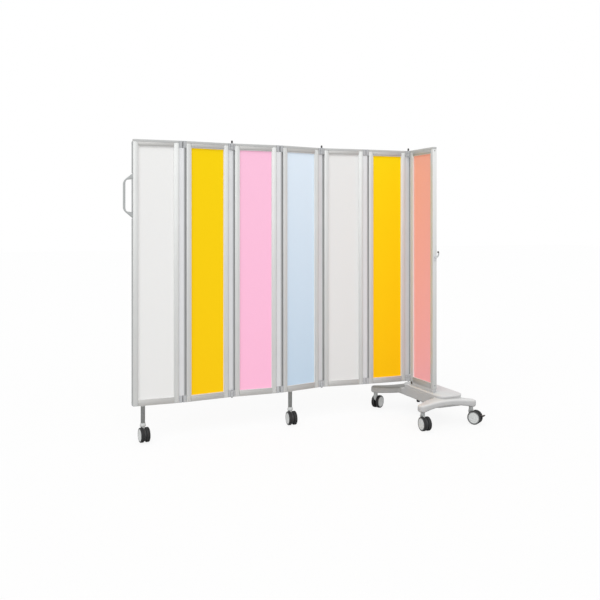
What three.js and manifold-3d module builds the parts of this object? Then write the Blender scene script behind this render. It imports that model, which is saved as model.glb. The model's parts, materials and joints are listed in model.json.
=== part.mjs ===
// A folding ward screen: seven framed leaves hinged as a concertina, the last one standing on a castor base.
// Millimetres, +Z up, seen from the front along +Y. The base runs along Y and the open leaves run towards -X.
import * as THREE from "three";
import { mergeVertices } from "three/addons/utils/BufferGeometryUtils.js";
import Module from "manifold-3d";

const wasm = await Module();
wasm.setup();

// Levels above the floor, each set up from the height of the castors
const castorHeight = 100;
const spineLift = 1;
const deckLift = 76;
const mountPlateHeight = 19;
const spineUnderside = castorHeight + spineLift;
const deckTop = castorHeight + deckLift;
const floorClearance = deckTop + mountPlateHeight;

// Leaves
const leafHeight = 1455;
const leafThickness = 28;
const stileWidth = 28;
const topRailHeight = 36;
const bottomRailHeight = 33;
const infillWidth = 196;
const infillThickness = 6;
const grooveDepth = 8;
const beadWidth = 5;
const beadDepth = 2;
const stileCornerRadius = 4;
const seatClearance = 0.3;
const cutOverrun = 5;

// Hinges between the leaves, and how far each is folded as it stands
const hingeReach = 19;
const hingeProud = 2;
const hingeBlockHeight = 38;
const blockClearance = 0.5;
const knuckleRadius = 8;
const pinRadius = 4;
const pinCapRadius = 5.5;
const pinCapHeight = 16;
const pinFootHeight = 3;
const sightStripWidth = 28;
const sightStripInset = 3;
const foldDegrees = [7.4, 7, 12.4, 16.7, 3.2, 85.6];

// Base, with the last leaf along its left edge
const castorTrack = 339;
const castorWheelbase = 548;
const armTipRadius = 29;
const armTipHeight = 45;
const armRootHalfWidth = 49;
const armRootOffset = 35;
const spineLeft = 41;
const spineWidth = 170;
const spineEdgeRadius = 12;
const deckThickness = 12;
const deckLength = 437;
const deckOffset = -47;
const deckOverhang = 1.5;
const deckCornerRadius = 38;
const deckEdgeRadius = 6;
const deckEndOverhang = 9;
const leafFaceInset = 16.4;
const leafEndOffset = 90.4;
const mountPlateMargin = 3;
const fixingCapRadius = 9;
const fixingCapThickness = 2.6;

// Castors
const wheelRadius = 40;
const wheelWidth = 19;
const wheelEdgeRadius = 6;
const hubRadius = 27;
const hubRecess = 2.5;
const castorTrail = 25;
const housingWidth = 12;
const housingRadius = 31;
const neckRadius = 13;
const neckHeight = 19;
const stemRadius = 6;
const stemLength = 24;
const axleRadius = 5;
const runningClearance = 0.5;
const pedalPinRadius = 1.8;
const pedalEyeRadius = 5;
const pedalTongueWidth = 6.4;
const pedalReach = 37;
const pedalTreadLength = 11;
const pedalTreadWidth = 34;
const pedalThickness = 5;

// Posts, handle and latch
const postRadius = 12;
const postTenonRadius = 9;
const postInset = 55;
const postSocketDepth = 22;
const handleDrop = 308;
const handleSpan = 246;
const handleDepth = 52;
const handleGripLength = 146;
const handleBarDepth = 12.5;
const handleThickness = 16;
const handleEdgeRadius = 5;
const handleLegHeight = 33;
const latchDrop = 663;
const latchPlateHeight = 36;
const latchPlateWidth = 16;
const latchPlateThickness = 5;
const latchHookRadius = 21.3;
const latchHookThickness = 6;
const latchPinRadius = 3;
const latchHeadRadius = 5;
const latchHeadThickness = 2;
const latchKnobRadius = 6;

// The cross arms: how far each one's underside and top rise from its tips to its root
const crossArms = [
  { side: -1, arch: 19, rise: 13 },
  { side: 1, arch: 0, rise: -4 },
];

// Directions that the castors trail in as the screen stands, as degrees from +X
const baseCastors = [
  { name: "far_left", x: -1, y: 1, heading: 31, braked: false },
  { name: "near_left", x: -1, y: -1, heading: -93, braked: false },
  { name: "near_right", x: 1, y: -1, heading: -58, braked: true },
  { name: "far_right", x: 1, y: 1, heading: 50, braked: true },
];
const leafCastors = [
  { leaf: 1, heading: -86 },
  { leaf: 4, heading: -94 },
];

// Finishes
const finish = (color, roughness, metalness = 0) => ({ color, roughness, metalness });
const aluminium = finish("#d6d7d8", 0.38, 0.6);
const stripWhite = finish("#e6e7ea", 0.45);
const hingeGrey = finish("#a9acae", 0.5);
const baseGrey = finish("#d0cecb", 0.5);
const deckGrey = finish("#dad8d5", 0.45);
const postSteel = finish("#9a9c9c", 0.35, 0.8);
const tyreBlack = finish("#222223", 0.8);
const housingGrey = finish("#b9bab8", 0.5);
const darkPlastic = finish("#3a3432", 0.6);
const infillColours = ["#f0f0ef", "#fdd207", "#ffc4df", "#d3e2f4", "#e7e7e6", "#ffbf06", "#f5a08f"];

const leafCount = infillColours.length;
const leafWidth = infillWidth + 2 * stileWidth;
const leafTop = floorClearance + leafHeight;
const handleHeight = leafTop - handleDrop;
const latchHeight = leafTop - latchDrop;
const radians = THREE.MathUtils.degToRad;
const weldTolerance = 1e-4;

// Turns a closed three.js geometry into a manifold solid
function solidFrom(geometry) {
  const bare = geometry.index ? geometry.toNonIndexed() : geometry.clone();
  bare.deleteAttribute("normal");
  bare.deleteAttribute("uv");
  const merged = mergeVertices(bare, weldTolerance);
  return new wasm.Manifold(
    new wasm.Mesh({
      numProp: 3,
      vertProperties: new Float32Array(merged.attributes.position.array),
      triVerts: new Uint32Array(merged.index.array),
    }),
  );
}

// Turns a manifold solid back into a flat-shaded three.js geometry
function geometryFrom(solid) {
  const mesh = solid.getMesh();
  const geometry = new THREE.BufferGeometry();
  geometry.setAttribute("position", new THREE.BufferAttribute(new Float32Array(mesh.vertProperties), 3));
  geometry.setIndex(new THREE.BufferAttribute(new Uint32Array(mesh.triVerts), 1));
  geometry.computeVertexNormals();
  return geometry;
}

function joined(...geometries) {
  return geometryFrom(geometries.map(solidFrom).reduce((whole, piece) => whole.add(piece)));
}

function cut(geometry, ...tools) {
  return geometryFrom(tools.map(solidFrom).reduce((rest, tool) => rest.subtract(tool), solidFrom(geometry)));
}

// A box between two corners
function block(x0, x1, y0, y1, z0, z1) {
  const geometry = new THREE.BoxGeometry(x1 - x0, y1 - y0, z1 - z0);
  return geometry.translate((x0 + x1) / 2, (y0 + y1) / 2, (z0 + z1) / 2);
}

// An upright cylinder
function rod(x, y, z0, z1, radius, sides = 20) {
  const geometry = new THREE.CylinderGeometry(radius, radius, z1 - z0, sides);
  return geometry.rotateX(Math.PI / 2).translate(x, y, (z0 + z1) / 2);
}

// A solid of revolution about Z from points of radius and height
function turned(points, sides = 20) {
  const profile = points.map(([radius, height]) => new THREE.Vector2(radius, height));
  return new THREE.LatheGeometry(profile, sides).rotateX(Math.PI / 2);
}

// A rectangle with round corners, centred on x, y
function roundedRectangle(x, y, width, height, radius) {
  const [left, right, low, high] = [x - width / 2, x + width / 2, y - height / 2, y + height / 2];
  const shape = new THREE.Shape();
  shape.absarc(right - radius, low + radius, radius, -Math.PI / 2, 0);
  shape.absarc(right - radius, high - radius, radius, 0, Math.PI / 2);
  shape.absarc(left + radius, high - radius, radius, Math.PI / 2, Math.PI);
  shape.absarc(left + radius, low + radius, radius, Math.PI, 1.5 * Math.PI);
  return shape;
}

// An outline given thickness from z0 to z1, its edges rounded top and bottom
function roundedSlab(outline, z0, z1, radius) {
  const settings = {
    depth: z1 - z0 - 2 * radius,
    bevelThickness: radius,
    bevelSize: radius,
    bevelOffset: -radius,
    bevelSegments: 3,
    curveSegments: 8,
  };
  return new THREE.ExtrudeGeometry(outline, settings).translate(0, 0, z0 + radius);
}

function named(name, geometry, look) {
  const mesh = new THREE.Mesh(geometry, new THREE.MeshStandardMaterial(look));
  mesh.name = name;
  return mesh;
}

// Leaf coordinates: x from the left edge of the frame, y from the front face to the rear, z from the floor

// The hinge axis lies in front of the faces at even hinge lines and behind them at odd ones
function hingeY(line) {
  return line % 2 === 0 ? -hingeProud : leafThickness + hingeProud;
}

// The frame's opening, grown by a margin, between two depths
function frameOpening(margin, y0, y1) {
  const low = floorClearance + bottomRailHeight - margin;
  const high = leafTop - topRailHeight + margin;
  return block(stileWidth - margin, stileWidth + infillWidth + margin, y0, y1, low, high);
}

function leafFrame(hasPost) {
  const middle = leafThickness / 2;
  const outline = roundedRectangle(leafWidth / 2, middle, leafWidth, leafThickness, stileCornerRadius);
  const settings = { depth: leafHeight, bevelEnabled: false, curveSegments: 3 };
  const bar = new THREE.ExtrudeGeometry(outline, settings);
  const grooveHalf = infillThickness / 2 + seatClearance;
  const tools = [
    frameOpening(0, -cutOverrun, leafThickness + cutOverrun),
    frameOpening(grooveDepth, middle - grooveHalf, middle + grooveHalf),
    frameOpening(beadWidth, -cutOverrun, beadDepth),
    frameOpening(beadWidth, leafThickness - beadDepth, leafThickness + cutOverrun),
  ];
  if (hasPost) {
    const socketTop = floorClearance + postSocketDepth + seatClearance;
    const socketRadius = postTenonRadius + seatClearance;
    tools.push(rod(postInset, middle, floorClearance - cutOverrun, socketTop, socketRadius));
  }
  return cut(bar.translate(0, 0, floorClearance), ...tools);
}

function infillSheet() {
  const middle = leafThickness / 2;
  const half = infillThickness / 2;
  return frameOpening(grooveDepth - seatClearance, middle - half, middle + half);
}

// Heights of one hinge line's block at the top or the bottom, with each leaf's share of the knuckles:
// the left leaf's knuckle lies nearer the middle of the screen, so the pin comes out at the outer end
function hingeLevels(atTop) {
  const sign = atTop ? 1 : -1;
  const outer = atTop ? leafTop : floorClearance;
  const inner = outer - sign * hingeBlockHeight;
  const split = (outer + inner) / 2;
  const gap = (sign * blockClearance) / 2;
  const span = (a, b) => [Math.min(a, b), Math.max(a, b)];
  return {
    sign,
    outer,
    body: span(inner, outer),
    leftKnuckle: span(inner, split - gap),
    leftRelief: span(inner - sign * cutOverrun, split + gap),
    rightKnuckle: span(split + gap, outer),
    rightRelief: span(split - gap, outer + sign * cutOverrun),
  };
}

// One half of a hinge block: its body, cleared round the other half's knuckle, and its own knuckle
function hingeHalf(x0, x1, axisX, axisY, body, knuckle, relief) {
  const clear = rod(axisX, axisY, ...relief, knuckleRadius + blockClearance);
  return joined(
    cut(block(x0, x1, 0, leafThickness, ...body), clear),
    rod(axisX, axisY, ...knuckle, knuckleRadius),
  );
}

// The hinge pin, standing in the left leaf's knuckle and running out through the right leaf's
function hingePin(axisX, axisY, levels, capped) {
  const { sign, outer, leftKnuckle } = levels;
  const start = sign > 0 ? leftKnuckle[0] : leftKnuckle[1];
  const end = outer + sign * blockClearance;
  const shaft = rod(axisX, axisY, Math.min(start, end), Math.max(start, end), pinRadius);
  if (!capped) return shaft;
  const height = sign > 0 ? pinCapHeight : pinFootHeight;
  const shoulder = Math.max(height - pinCapRadius, height / 2);
  const cap = turned([
    [0, 0],
    [pinCapRadius, 0],
    [pinCapRadius, shoulder],
    [pinCapRadius * 0.75, (shoulder + 2 * height) / 3],
    [0, height],
  ]);
  if (sign < 0) cap.rotateX(Math.PI);
  return joined(shaft, cap.translate(axisX, axisY, end));
}

// The sight strip, with the two half blocks and pins of the leaf on its left
function hingeStrip(line) {
  const start = leafWidth + seatClearance;
  const axisX = leafWidth + hingeReach;
  const stop = axisX - blockClearance;
  const axisY = hingeY(line);
  const low = floorClearance + hingeBlockHeight;
  const high = leafTop - hingeBlockHeight;
  const [front, rear] = [sightStripInset, leafThickness - sightStripInset];
  const pieces = [
    block(start, leafWidth + sightStripWidth, front, rear, low + blockClearance, high - blockClearance),
    block(start, stop, front, rear, low - cutOverrun, high + cutOverrun),
  ];
  for (const atTop of [true, false]) {
    const levels = hingeLevels(atTop);
    pieces.push(hingeHalf(start, stop, axisX, axisY, levels.body, levels.leftKnuckle, levels.rightRelief));
    pieces.push(hingePin(axisX, axisY, levels, line % 2 === 0));
  }
  return joined(...pieces);
}

// The half block on the left edge of the next leaf, bored for the pin
function hingeBlock(line, atTop) {
  const levels = hingeLevels(atTop);
  const axisY = hingeY(line);
  const [x0, x1] = [blockClearance - hingeReach, -seatClearance];
  const half = hingeHalf(x0, x1, -hingeReach, axisY, levels.body, levels.rightKnuckle, levels.leftRelief);
  const [low, high] = [levels.body[0] - cutOverrun, levels.body[1] + cutOverrun];
  return cut(half, rod(-hingeReach, axisY, low, high, pinRadius + seatClearance));
}

// The pull handle on the left edge of the first leaf: a moulded bow whose legs widen towards the leaf
function handle() {
  const wall = -seatClearance;
  const outer = -handleDepth;
  const inner = outer + handleBarDepth;
  const half = handleSpan / 2;
  const grip = handleGripLength / 2;
  const root = half - handleLegHeight;
  const shoulderShare = 0.9;
  const kneeShares = [0.6, 0.97];
  const shoulder = [outer * shoulderShare, half * shoulderShare];
  const knee = [inner * kneeShares[0], root * kneeShares[1]];
  const bow = new THREE.Shape();
  bow.moveTo(wall, half);
  bow.quadraticCurveTo(shoulder[0], shoulder[1], outer, grip);
  bow.lineTo(outer, -grip);
  bow.quadraticCurveTo(shoulder[0], -shoulder[1], wall, -half);
  bow.lineTo(wall, -root);
  bow.lineTo(knee[0], -knee[1]);
  bow.quadraticCurveTo(inner, -knee[1], inner, -grip);
  bow.lineTo(inner, grip);
  bow.quadraticCurveTo(inner, knee[1], knee[0], knee[1]);
  bow.lineTo(wall, root);
  const bar = roundedSlab(bow, -handleThickness / 2, handleThickness / 2, handleEdgeRadius);
  return bar.rotateX(Math.PI / 2).translate(0, leafThickness / 2, handleHeight);
}

function post() {
  const shoulder = floorClearance - seatClearance;
  const top = floorClearance + postSocketDepth;
  const bottom = castorHeight + seatClearance;
  const socketTop = castorHeight + stemLength + seatClearance;
  const socket = rod(0, 0, bottom - cutOverrun, socketTop, stemRadius + seatClearance);
  const tube = joined(rod(0, 0, bottom, shoulder, postRadius), rod(0, 0, bottom, top, postTenonRadius));
  return cut(tube, socket);
}

// Distances of the hook's two faces from the left edge of the leaf
function hookFaces() {
  const near = leafWidth + 2 * seatClearance + latchPlateThickness;
  return [near, near + latchHookThickness];
}

// The plate on the right edge of the leaf, with the headed pin that carries the hook
function latchPlate() {
  const middle = leafThickness / 2;
  const start = leafWidth + seatClearance;
  const [, outer] = hookFaces();
  const head = outer + seatClearance;
  const disc = (x0, x1, radius) =>
    rod(0, 0, x0, x1, radius).rotateY(Math.PI / 2).translate(0, middle, latchHeight);
  const [low, high] = [latchHeight - latchPlateHeight / 2, latchHeight + latchPlateHeight / 2];
  const [front, rear] = [middle - latchPlateWidth / 2, middle + latchPlateWidth / 2];
  return joined(
    block(start, start + latchPlateThickness, front, rear, low, high),
    disc(start, head, latchPinRadius),
    disc(head, head + latchHeadThickness, latchHeadRadius),
  );
}

// The hook about its pin: a round eye, an arm that curves out to the rear and up, and a ball on its tip
function latchHook() {
  const half = latchHookThickness / 2;
  const radius = latchHookRadius;
  const tipAngle = Math.PI / 6;
  const arm = new THREE.Shape();
  arm.absarc(0, radius, radius + half, -Math.PI / 2, tipAngle);
  arm.absarc(0, radius, radius - half, tipAngle, -Math.PI / 2, true);
  const settings = { depth: latchHookThickness, bevelEnabled: false, curveSegments: 10 };
  const ball = new THREE.SphereGeometry(latchKnobRadius, 14, 8);
  const tip = [radius * Math.cos(tipAngle), radius * (1 + Math.sin(tipAngle))];
  const eye = rod(0, 0, 0, latchHookThickness, latchPinRadius + half);
  const bore = rod(0, 0, -cutOverrun, latchHookThickness + cutOverrun, latchPinRadius + seatClearance);
  const pieces = [new THREE.ExtrudeGeometry(arm, settings), eye, ball.translate(...tip, half)];
  const hook = cut(joined(...pieces), bore);
  return hook.rotateY(Math.PI / 2).rotateX(Math.PI / 2);
}

// A rounded bar through oblong sections across X, each with its middle y, half width, underside and top
function loftedArm(sections, sides = 20) {
  const squareness = 0.5;
  const shaped = (value) => Math.sign(value) * Math.abs(value) ** squareness;
  const positions = [];
  for (const { x, y, half, low, high } of sections) {
    for (let i = 0; i < sides; i++) {
      const angle = (2 * Math.PI * i) / sides;
      const up = shaped(Math.sin(angle));
      positions.push(x, y + half * shaped(Math.cos(angle)), (low + high) / 2 + ((high - low) / 2) * up);
    }
  }
  const index = [];
  const last = (sections.length - 1) * sides;
  for (let ring = 0; ring < last; ring += sides) {
    for (let i = 0; i < sides; i++) {
      const j = (i + 1) % sides;
      index.push(ring + i, ring + j, ring + sides + i);
      index.push(ring + j, ring + sides + j, ring + sides + i);
    }
  }
  for (let i = 1; i < sides - 1; i++) {
    index.push(0, i + 1, i);
    index.push(last, last + i, last + i + 1);
  }
  const geometry = new THREE.BufferGeometry();
  geometry.setAttribute("position", new THREE.Float32BufferAttribute(positions, 3));
  return geometry.setIndex(index);
}

// One cross arm of the base: round tips over the castors, swelling towards the spine
function crossArm({ side, arch, rise }) {
  const tip = castorTrack / 2;
  const steps = 12;
  const roundingShares = [0.98, 0.87, 0.64, 0.34];
  const tipReaches = roundingShares.map((share) => tip + armTipRadius * share);
  const inner = Array.from({ length: steps + 1 }, (_, i) => tip - (castorTrack * i) / steps);
  const reaches = [...tipReaches, ...inner, ...tipReaches.map((reach) => -reach).reverse()];
  const sections = reaches.reverse().map((x) => {
    const swell = Math.max(1 - (x / tip) ** 2, 0);
    const round = Math.sqrt(1 - (Math.max(Math.abs(x) - tip, 0) / armTipRadius) ** 2);
    const trim = (armTipHeight * (1 - round)) / 4;
    return {
      x,
      y: side * (castorWheelbase / 2 - armRootOffset * swell),
      half: armTipRadius * round + (armRootHalfWidth - armTipRadius) * swell,
      low: castorHeight + seatClearance + arch * swell + trim,
      high: castorHeight + armTipHeight + rise * swell - trim,
    };
  });
  return loftedArm(sections);
}

// The deck's outline, grown by a margin
function deckOutline(margin) {
  const width = spineWidth + 2 * (deckOverhang + margin);
  const radius = deckCornerRadius + margin;
  return roundedRectangle(spineWidth / 2 - spineLeft, deckOffset, width, deckLength + 2 * margin, radius);
}

function deckPlate() {
  const low = deckTop - deckThickness;
  const far = castorWheelbase;
  const plate = roundedSlab(deckOutline(0), low - deckThickness, deckTop, deckEdgeRadius);
  return cut(plate, block(-far, far, -far, far, low - 2 * deckThickness, low));
}

// The spine between the cross arms: full height under the deck, stepped down behind it
function spine() {
  const near = deckOffset - deckLength / 2 + deckEndOverhang;
  const far = castorWheelbase / 2 - armRootOffset;
  const middle = [spineWidth / 2 - spineLeft, (near + far) / 2];
  const outline = roundedRectangle(...middle, spineWidth, far - near, deckCornerRadius);
  const floor = deckTop - deckThickness - seatClearance;
  const slab = roundedSlab(outline, spineUnderside, deckTop + spineEdgeRadius, spineEdgeRadius);
  const reach = castorWheelbase;
  const step = deckOffset + deckLength / 2 - deckEndOverhang;
  const above = deckTop + 2 * spineEdgeRadius;
  return cut(
    slab,
    block(-reach, reach, -reach, reach, floor, above),
    block(-reach, reach, step, reach, castorHeight + armTipHeight - deckEdgeRadius, above),
  );
}

function baseBody() {
  const top = castorHeight + stemLength + seatClearance;
  const sockets = baseCastors.map(({ x, y }) => {
    const [socketX, socketY] = [(x * castorTrack) / 2, (y * castorWheelbase) / 2];
    return rod(socketX, socketY, castorHeight - cutOverrun, top, stemRadius + seatClearance);
  });
  return cut(joined(...crossArms.map(crossArm), spine()), ...sockets);
}

function mountPlate() {
  const margin = mountPlateMargin;
  const [low, high] = [deckTop + seatClearance, floorClearance - seatClearance];
  return block(margin, leafWidth - margin, 0, leafThickness, low, high);
}

function fixingCap() {
  const cap = new THREE.CylinderGeometry(fixingCapRadius, fixingCapRadius, fixingCapThickness, 24);
  const front = -seatClearance - fixingCapThickness / 2;
  return cap.translate(fixingCapRadius + stileWidth / 4, front, floorClearance - fixingCapRadius / 2);
}

// Castor coordinates: z from the floor, origin on the swivel axis, the wheels trailing towards +x

// A disc across the castor, from -y to +y
function crossDisc(x, z, halfWidth, radius, sides = 20) {
  return new THREE.CylinderGeometry(radius, radius, 2 * halfWidth, sides).translate(x, 0, z);
}

// The web between the wheels, its neck and its stem, forked where it carries a brake pedal
function castorHousing(braked) {
  const half = housingWidth / 2;
  const pieces = [
    crossDisc(castorTrail, wheelRadius, half, housingRadius, 36),
    block(-neckRadius, castorTrail, -half, half, wheelRadius, castorHeight - neckHeight / 2),
    rod(0, 0, castorHeight - neckHeight, castorHeight, neckRadius),
    rod(0, 0, castorHeight - neckRadius, castorHeight + stemLength, stemRadius),
  ];
  const axleBore = crossDisc(castorTrail, wheelRadius, housingWidth, axleRadius);
  if (!braked) return cut(joined(...pieces), axleBore);
  const { x, z } = pedalPivot();
  pieces.push(crossDisc(x, z, half, pedalEyeRadius));
  const slotHalf = pedalTongueWidth / 2 + seatClearance;
  const slotRadius = pedalEyeRadius + 2 * blockClearance;
  const slot = cut(crossDisc(x, z, slotHalf, slotRadius), crossDisc(x, z, housingWidth, pedalPinRadius));
  const opening = block(x, x + housingRadius, -slotHalf, slotHalf, z - slotRadius, z + slotRadius);
  return cut(joined(...pieces), axleBore, slot, cut(opening, crossDisc(x, z, housingWidth, pedalPinRadius)));
}

// Where a brake pedal turns: near the rim of the housing, behind and above the axle
function pedalPivot() {
  const angle = Math.PI / 5;
  const reach = housingRadius - pedalEyeRadius;
  return { x: castorTrail + reach * Math.cos(angle), z: wheelRadius + reach * Math.sin(angle) };
}

// Both wheels on their axle, about the axle's middle, with flats of the faceted treads just on the floor
function wheelPair() {
  const sides = 28;
  const chamferShare = 0.3;
  const tread = wheelRadius / Math.cos(Math.PI / sides);
  const inner = housingWidth / 2 + runningClearance;
  const outer = inner + wheelWidth;
  const edge = wheelEdgeRadius;
  const profile = [
    [0, inner],
    [tread - edge / 2, inner],
    [tread, inner + edge],
    [tread, outer - edge],
    [tread - edge * chamferShare, outer - edge * chamferShare],
    [tread - edge, outer],
    [hubRadius + hubRecess, outer],
    [hubRadius, outer - hubRecess],
    [0, outer - hubRecess],
  ];
  const wheel = turned(profile, sides);
  const other = wheel.clone().rotateX(Math.PI);
  const axle = rod(0, 0, -inner - hubRecess, inner + hubRecess, axleRadius - runningClearance);
  const pair = joined(wheel, other, axle);
  return pair.rotateZ(Math.PI / sides).rotateX(Math.PI / 2);
}

// The brake pedal about its pin: an eye and a tongue between the wheels, widening past their treads
function brakePedal() {
  const tongue = pedalTongueWidth / 2;
  const half = pedalThickness / 2;
  const treadStart = pedalReach - pedalTreadLength;
  const pedal = joined(
    crossDisc(0, 0, tongue, pedalEyeRadius),
    block(0, pedalReach, -tongue, tongue, -half, half),
    block(treadStart, pedalReach, -pedalTreadWidth / 2, pedalTreadWidth / 2, -half, half),
  );
  return cut(pedal, crossDisc(0, 0, housingWidth, pedalPinRadius + seatClearance));
}

// A group at a place, turned about the vertical by an angle in degrees
function placed(x, y, degrees) {
  const group = new THREE.Group();
  group.position.set(x, y, 0);
  group.rotation.z = radians(degrees);
  return group;
}

function castor(name, x, y, heading, braked) {
  const group = placed(x, y, heading);
  group.name = `${name}_swivel`;
  group.add(named(`castor_${name}_housing`, castorHousing(braked), housingGrey));
  const wheels = named(`castor_${name}_wheels`, wheelPair(), tyreBlack);
  wheels.position.set(castorTrail, 0, wheelRadius);
  group.add(wheels);
  if (braked) {
    const pedal = named(`castor_${name}_pedal`, brakePedal(), darkPlastic);
    const pivot = pedalPivot();
    pedal.position.set(pivot.x, 0, pivot.z);
    group.add(pedal);
  }
  return group;
}

// One leaf in leaf coordinates, with what is fixed to it
function leaf(number) {
  const group = new THREE.Group();
  const onPost = leafCastors.find((castorPlace) => castorPlace.leaf === number);
  group.add(named(`leaf_${number}_frame`, leafFrame(Boolean(onPost)), aluminium));
  group.add(named(`leaf_${number}_infill`, infillSheet(), finish(infillColours[number - 1], 0.55)));
  if (number < leafCount) group.add(named(`hinge_${number}_strip`, hingeStrip(number), stripWhite));
  if (number > 1) {
    group.add(named(`hinge_${number - 1}_top_block`, hingeBlock(number - 1, true), hingeGrey));
    group.add(named(`hinge_${number - 1}_bottom_block`, hingeBlock(number - 1, false), hingeGrey));
  }
  if (onPost) {
    const tube = named(`leaf_${number}_post`, post(), postSteel);
    tube.position.set(postInset, leafThickness / 2, 0);
    group.add(tube);
  }
  return group;
}

// The base with its castors
function base() {
  const group = new THREE.Group();
  group.add(named("base_body", baseBody(), baseGrey));
  group.add(named("base_deck", deckPlate(), deckGrey));
  for (const { name, x, y, heading, braked } of baseCastors) {
    group.add(castor(name, (x * castorTrack) / 2, (y * castorWheelbase) / 2, heading, braked));
  }
  return group;
}

// The latch on the outer end of the last leaf
function latch() {
  const group = new THREE.Group();
  group.add(named("latch_plate", latchPlate(), hingeGrey));
  const hook = named("latch_hook", latchHook(), darkPlastic);
  const [inner] = hookFaces();
  hook.position.set(inner, leafThickness / 2, latchHeight);
  group.add(hook);
  return group;
}

// Hangs each leaf on the one to its right, from the last to the first
function leaves() {
  const last = leaf(leafCount);
  last.position.set(-spineLeft + leafFaceInset, leafEndOffset, 0);
  last.rotation.z = -Math.PI / 2;
  last.add(named("mount_plate", mountPlate(), postSteel));
  last.add(named("fixing_cap", fixingCap(), darkPlastic));
  last.add(latch());
  let carrier = last;
  let facing = -90;
  for (let line = leafCount - 1; line > 0; line--) {
    const turn = line % 2 === 0 ? foldDegrees[line - 1] : -foldDegrees[line - 1];
    const hinge = placed(-hingeReach, hingeY(line), turn);
    hinge.name = `fold_${line}`;
    facing += turn;
    const next = leaf(line);
    next.position.set(-leafWidth - hingeReach, -hingeY(line), 0);
    hinge.add(next);
    carrier.add(hinge);
    const wheeled = leafCastors.find((castorPlace) => castorPlace.leaf === line);
    const middle = leafThickness / 2;
    if (wheeled) next.add(castor(`leaf_${line}`, postInset, middle, wheeled.heading - facing, false));
    if (line === 1) next.add(named("pull_handle", handle(), housingGrey));
    carrier = next;
  }
  return last;
}

const screen = new THREE.Group();
screen.add(base(), leaves());

// The origin is the middle of the screen's box, on the floor
screen.updateMatrixWorld(true);
const middle = new THREE.Box3().setFromObject(screen, true).getCenter(new THREE.Vector3());
screen.position.set(-middle.x, -middle.y, 0);

export default screen;
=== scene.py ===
import json
import math

import bmesh
import bpy
from mathutils import Matrix, Vector


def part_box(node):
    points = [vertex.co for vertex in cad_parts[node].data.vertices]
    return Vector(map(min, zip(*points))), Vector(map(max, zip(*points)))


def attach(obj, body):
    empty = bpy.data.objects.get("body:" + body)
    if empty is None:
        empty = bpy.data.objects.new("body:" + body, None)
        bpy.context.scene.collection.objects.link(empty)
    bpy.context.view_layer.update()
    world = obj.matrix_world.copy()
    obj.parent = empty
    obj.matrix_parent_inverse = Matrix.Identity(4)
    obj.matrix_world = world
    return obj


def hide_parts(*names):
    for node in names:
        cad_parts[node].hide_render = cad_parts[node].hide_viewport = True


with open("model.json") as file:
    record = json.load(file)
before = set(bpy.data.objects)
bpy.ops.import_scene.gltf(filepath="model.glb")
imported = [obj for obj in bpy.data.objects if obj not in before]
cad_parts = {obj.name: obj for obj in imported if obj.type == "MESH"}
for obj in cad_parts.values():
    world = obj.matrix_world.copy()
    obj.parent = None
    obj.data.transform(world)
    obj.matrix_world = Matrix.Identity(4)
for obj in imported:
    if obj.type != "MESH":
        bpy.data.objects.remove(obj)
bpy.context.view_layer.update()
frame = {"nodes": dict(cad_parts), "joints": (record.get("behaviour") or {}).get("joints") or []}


# Leaf stiles
# Two upright bars to a leaf, of satin anodised aluminium extrusion with small round corners. Their
# inner sides are stepped, with a groove that holds the sheet.

MM = 0.001
LEAF_COUNT = 7
LEAF_WIDTH = 252
LEAF_THICKNESS = 28
STILE_WIDTH = 28
STILE_CORNER = 4
STILE_EDGE = 0.5
STEP_WIDTH = 5
STEP_DEPTH = 2
SHEET_THICKNESS = 6
GROOVE_DEPTH = 8
FIT = 0.3
CAP_HEIGHT = 13
FOOT_HEIGHT = 3
ALUMINIUM = "#dddfde"
ALUMINIUM_DULL = "#d4d5d4"
# The die leaves lines about 0.3 mm apart, drawn coarser so that they show.
DIE_LINE_SPACING = 5
DIE_LINE_DEPTH = 0.12
DIE_LINE_STRENGTH = 0.3
DIE_LINE_SQUEEZE = 0.006
SATIN_METAL = 0.55
SATIN_ROUGHNESS = (0.42, 0.56)
EDGE_SHEEN = "#8a8a8a"
ALUMINIUM_CLOUD = 166.7

leaf_low, leaf_high = (corner.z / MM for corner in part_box("leaf_1_frame"))
joint_named = {joint["name"]: joint for joint in frame["joints"]}


def linear(colour):
    """An sRGB hex colour as linear red, green, blue and alpha."""
    channels = [int(colour[i : i + 2], 16) / 255 for i in (1, 3, 5)]
    return [c / 12.92 if c <= 0.04045 else ((c + 0.055) / 1.055) ** 2.4 for c in channels] + [1]


def add(material, kind, sockets, **settings):
    """Adds a node with its settings, and gives each socket a value or a link to an output."""
    node = material.node_tree.nodes.new("ShaderNode" + kind)
    for name, value in settings.items():
        setattr(node, name, value)
    for socket, value in sockets.items():
        if isinstance(value, bpy.types.NodeSocket):
            material.node_tree.links.new(value, node.inputs[socket])
        else:
            node.inputs[socket].default_value = value
    return node


def new_finish(name):
    material = bpy.data.materials.new(name)
    material.use_nodes = True
    material.node_tree.nodes.clear()
    return material


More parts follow.
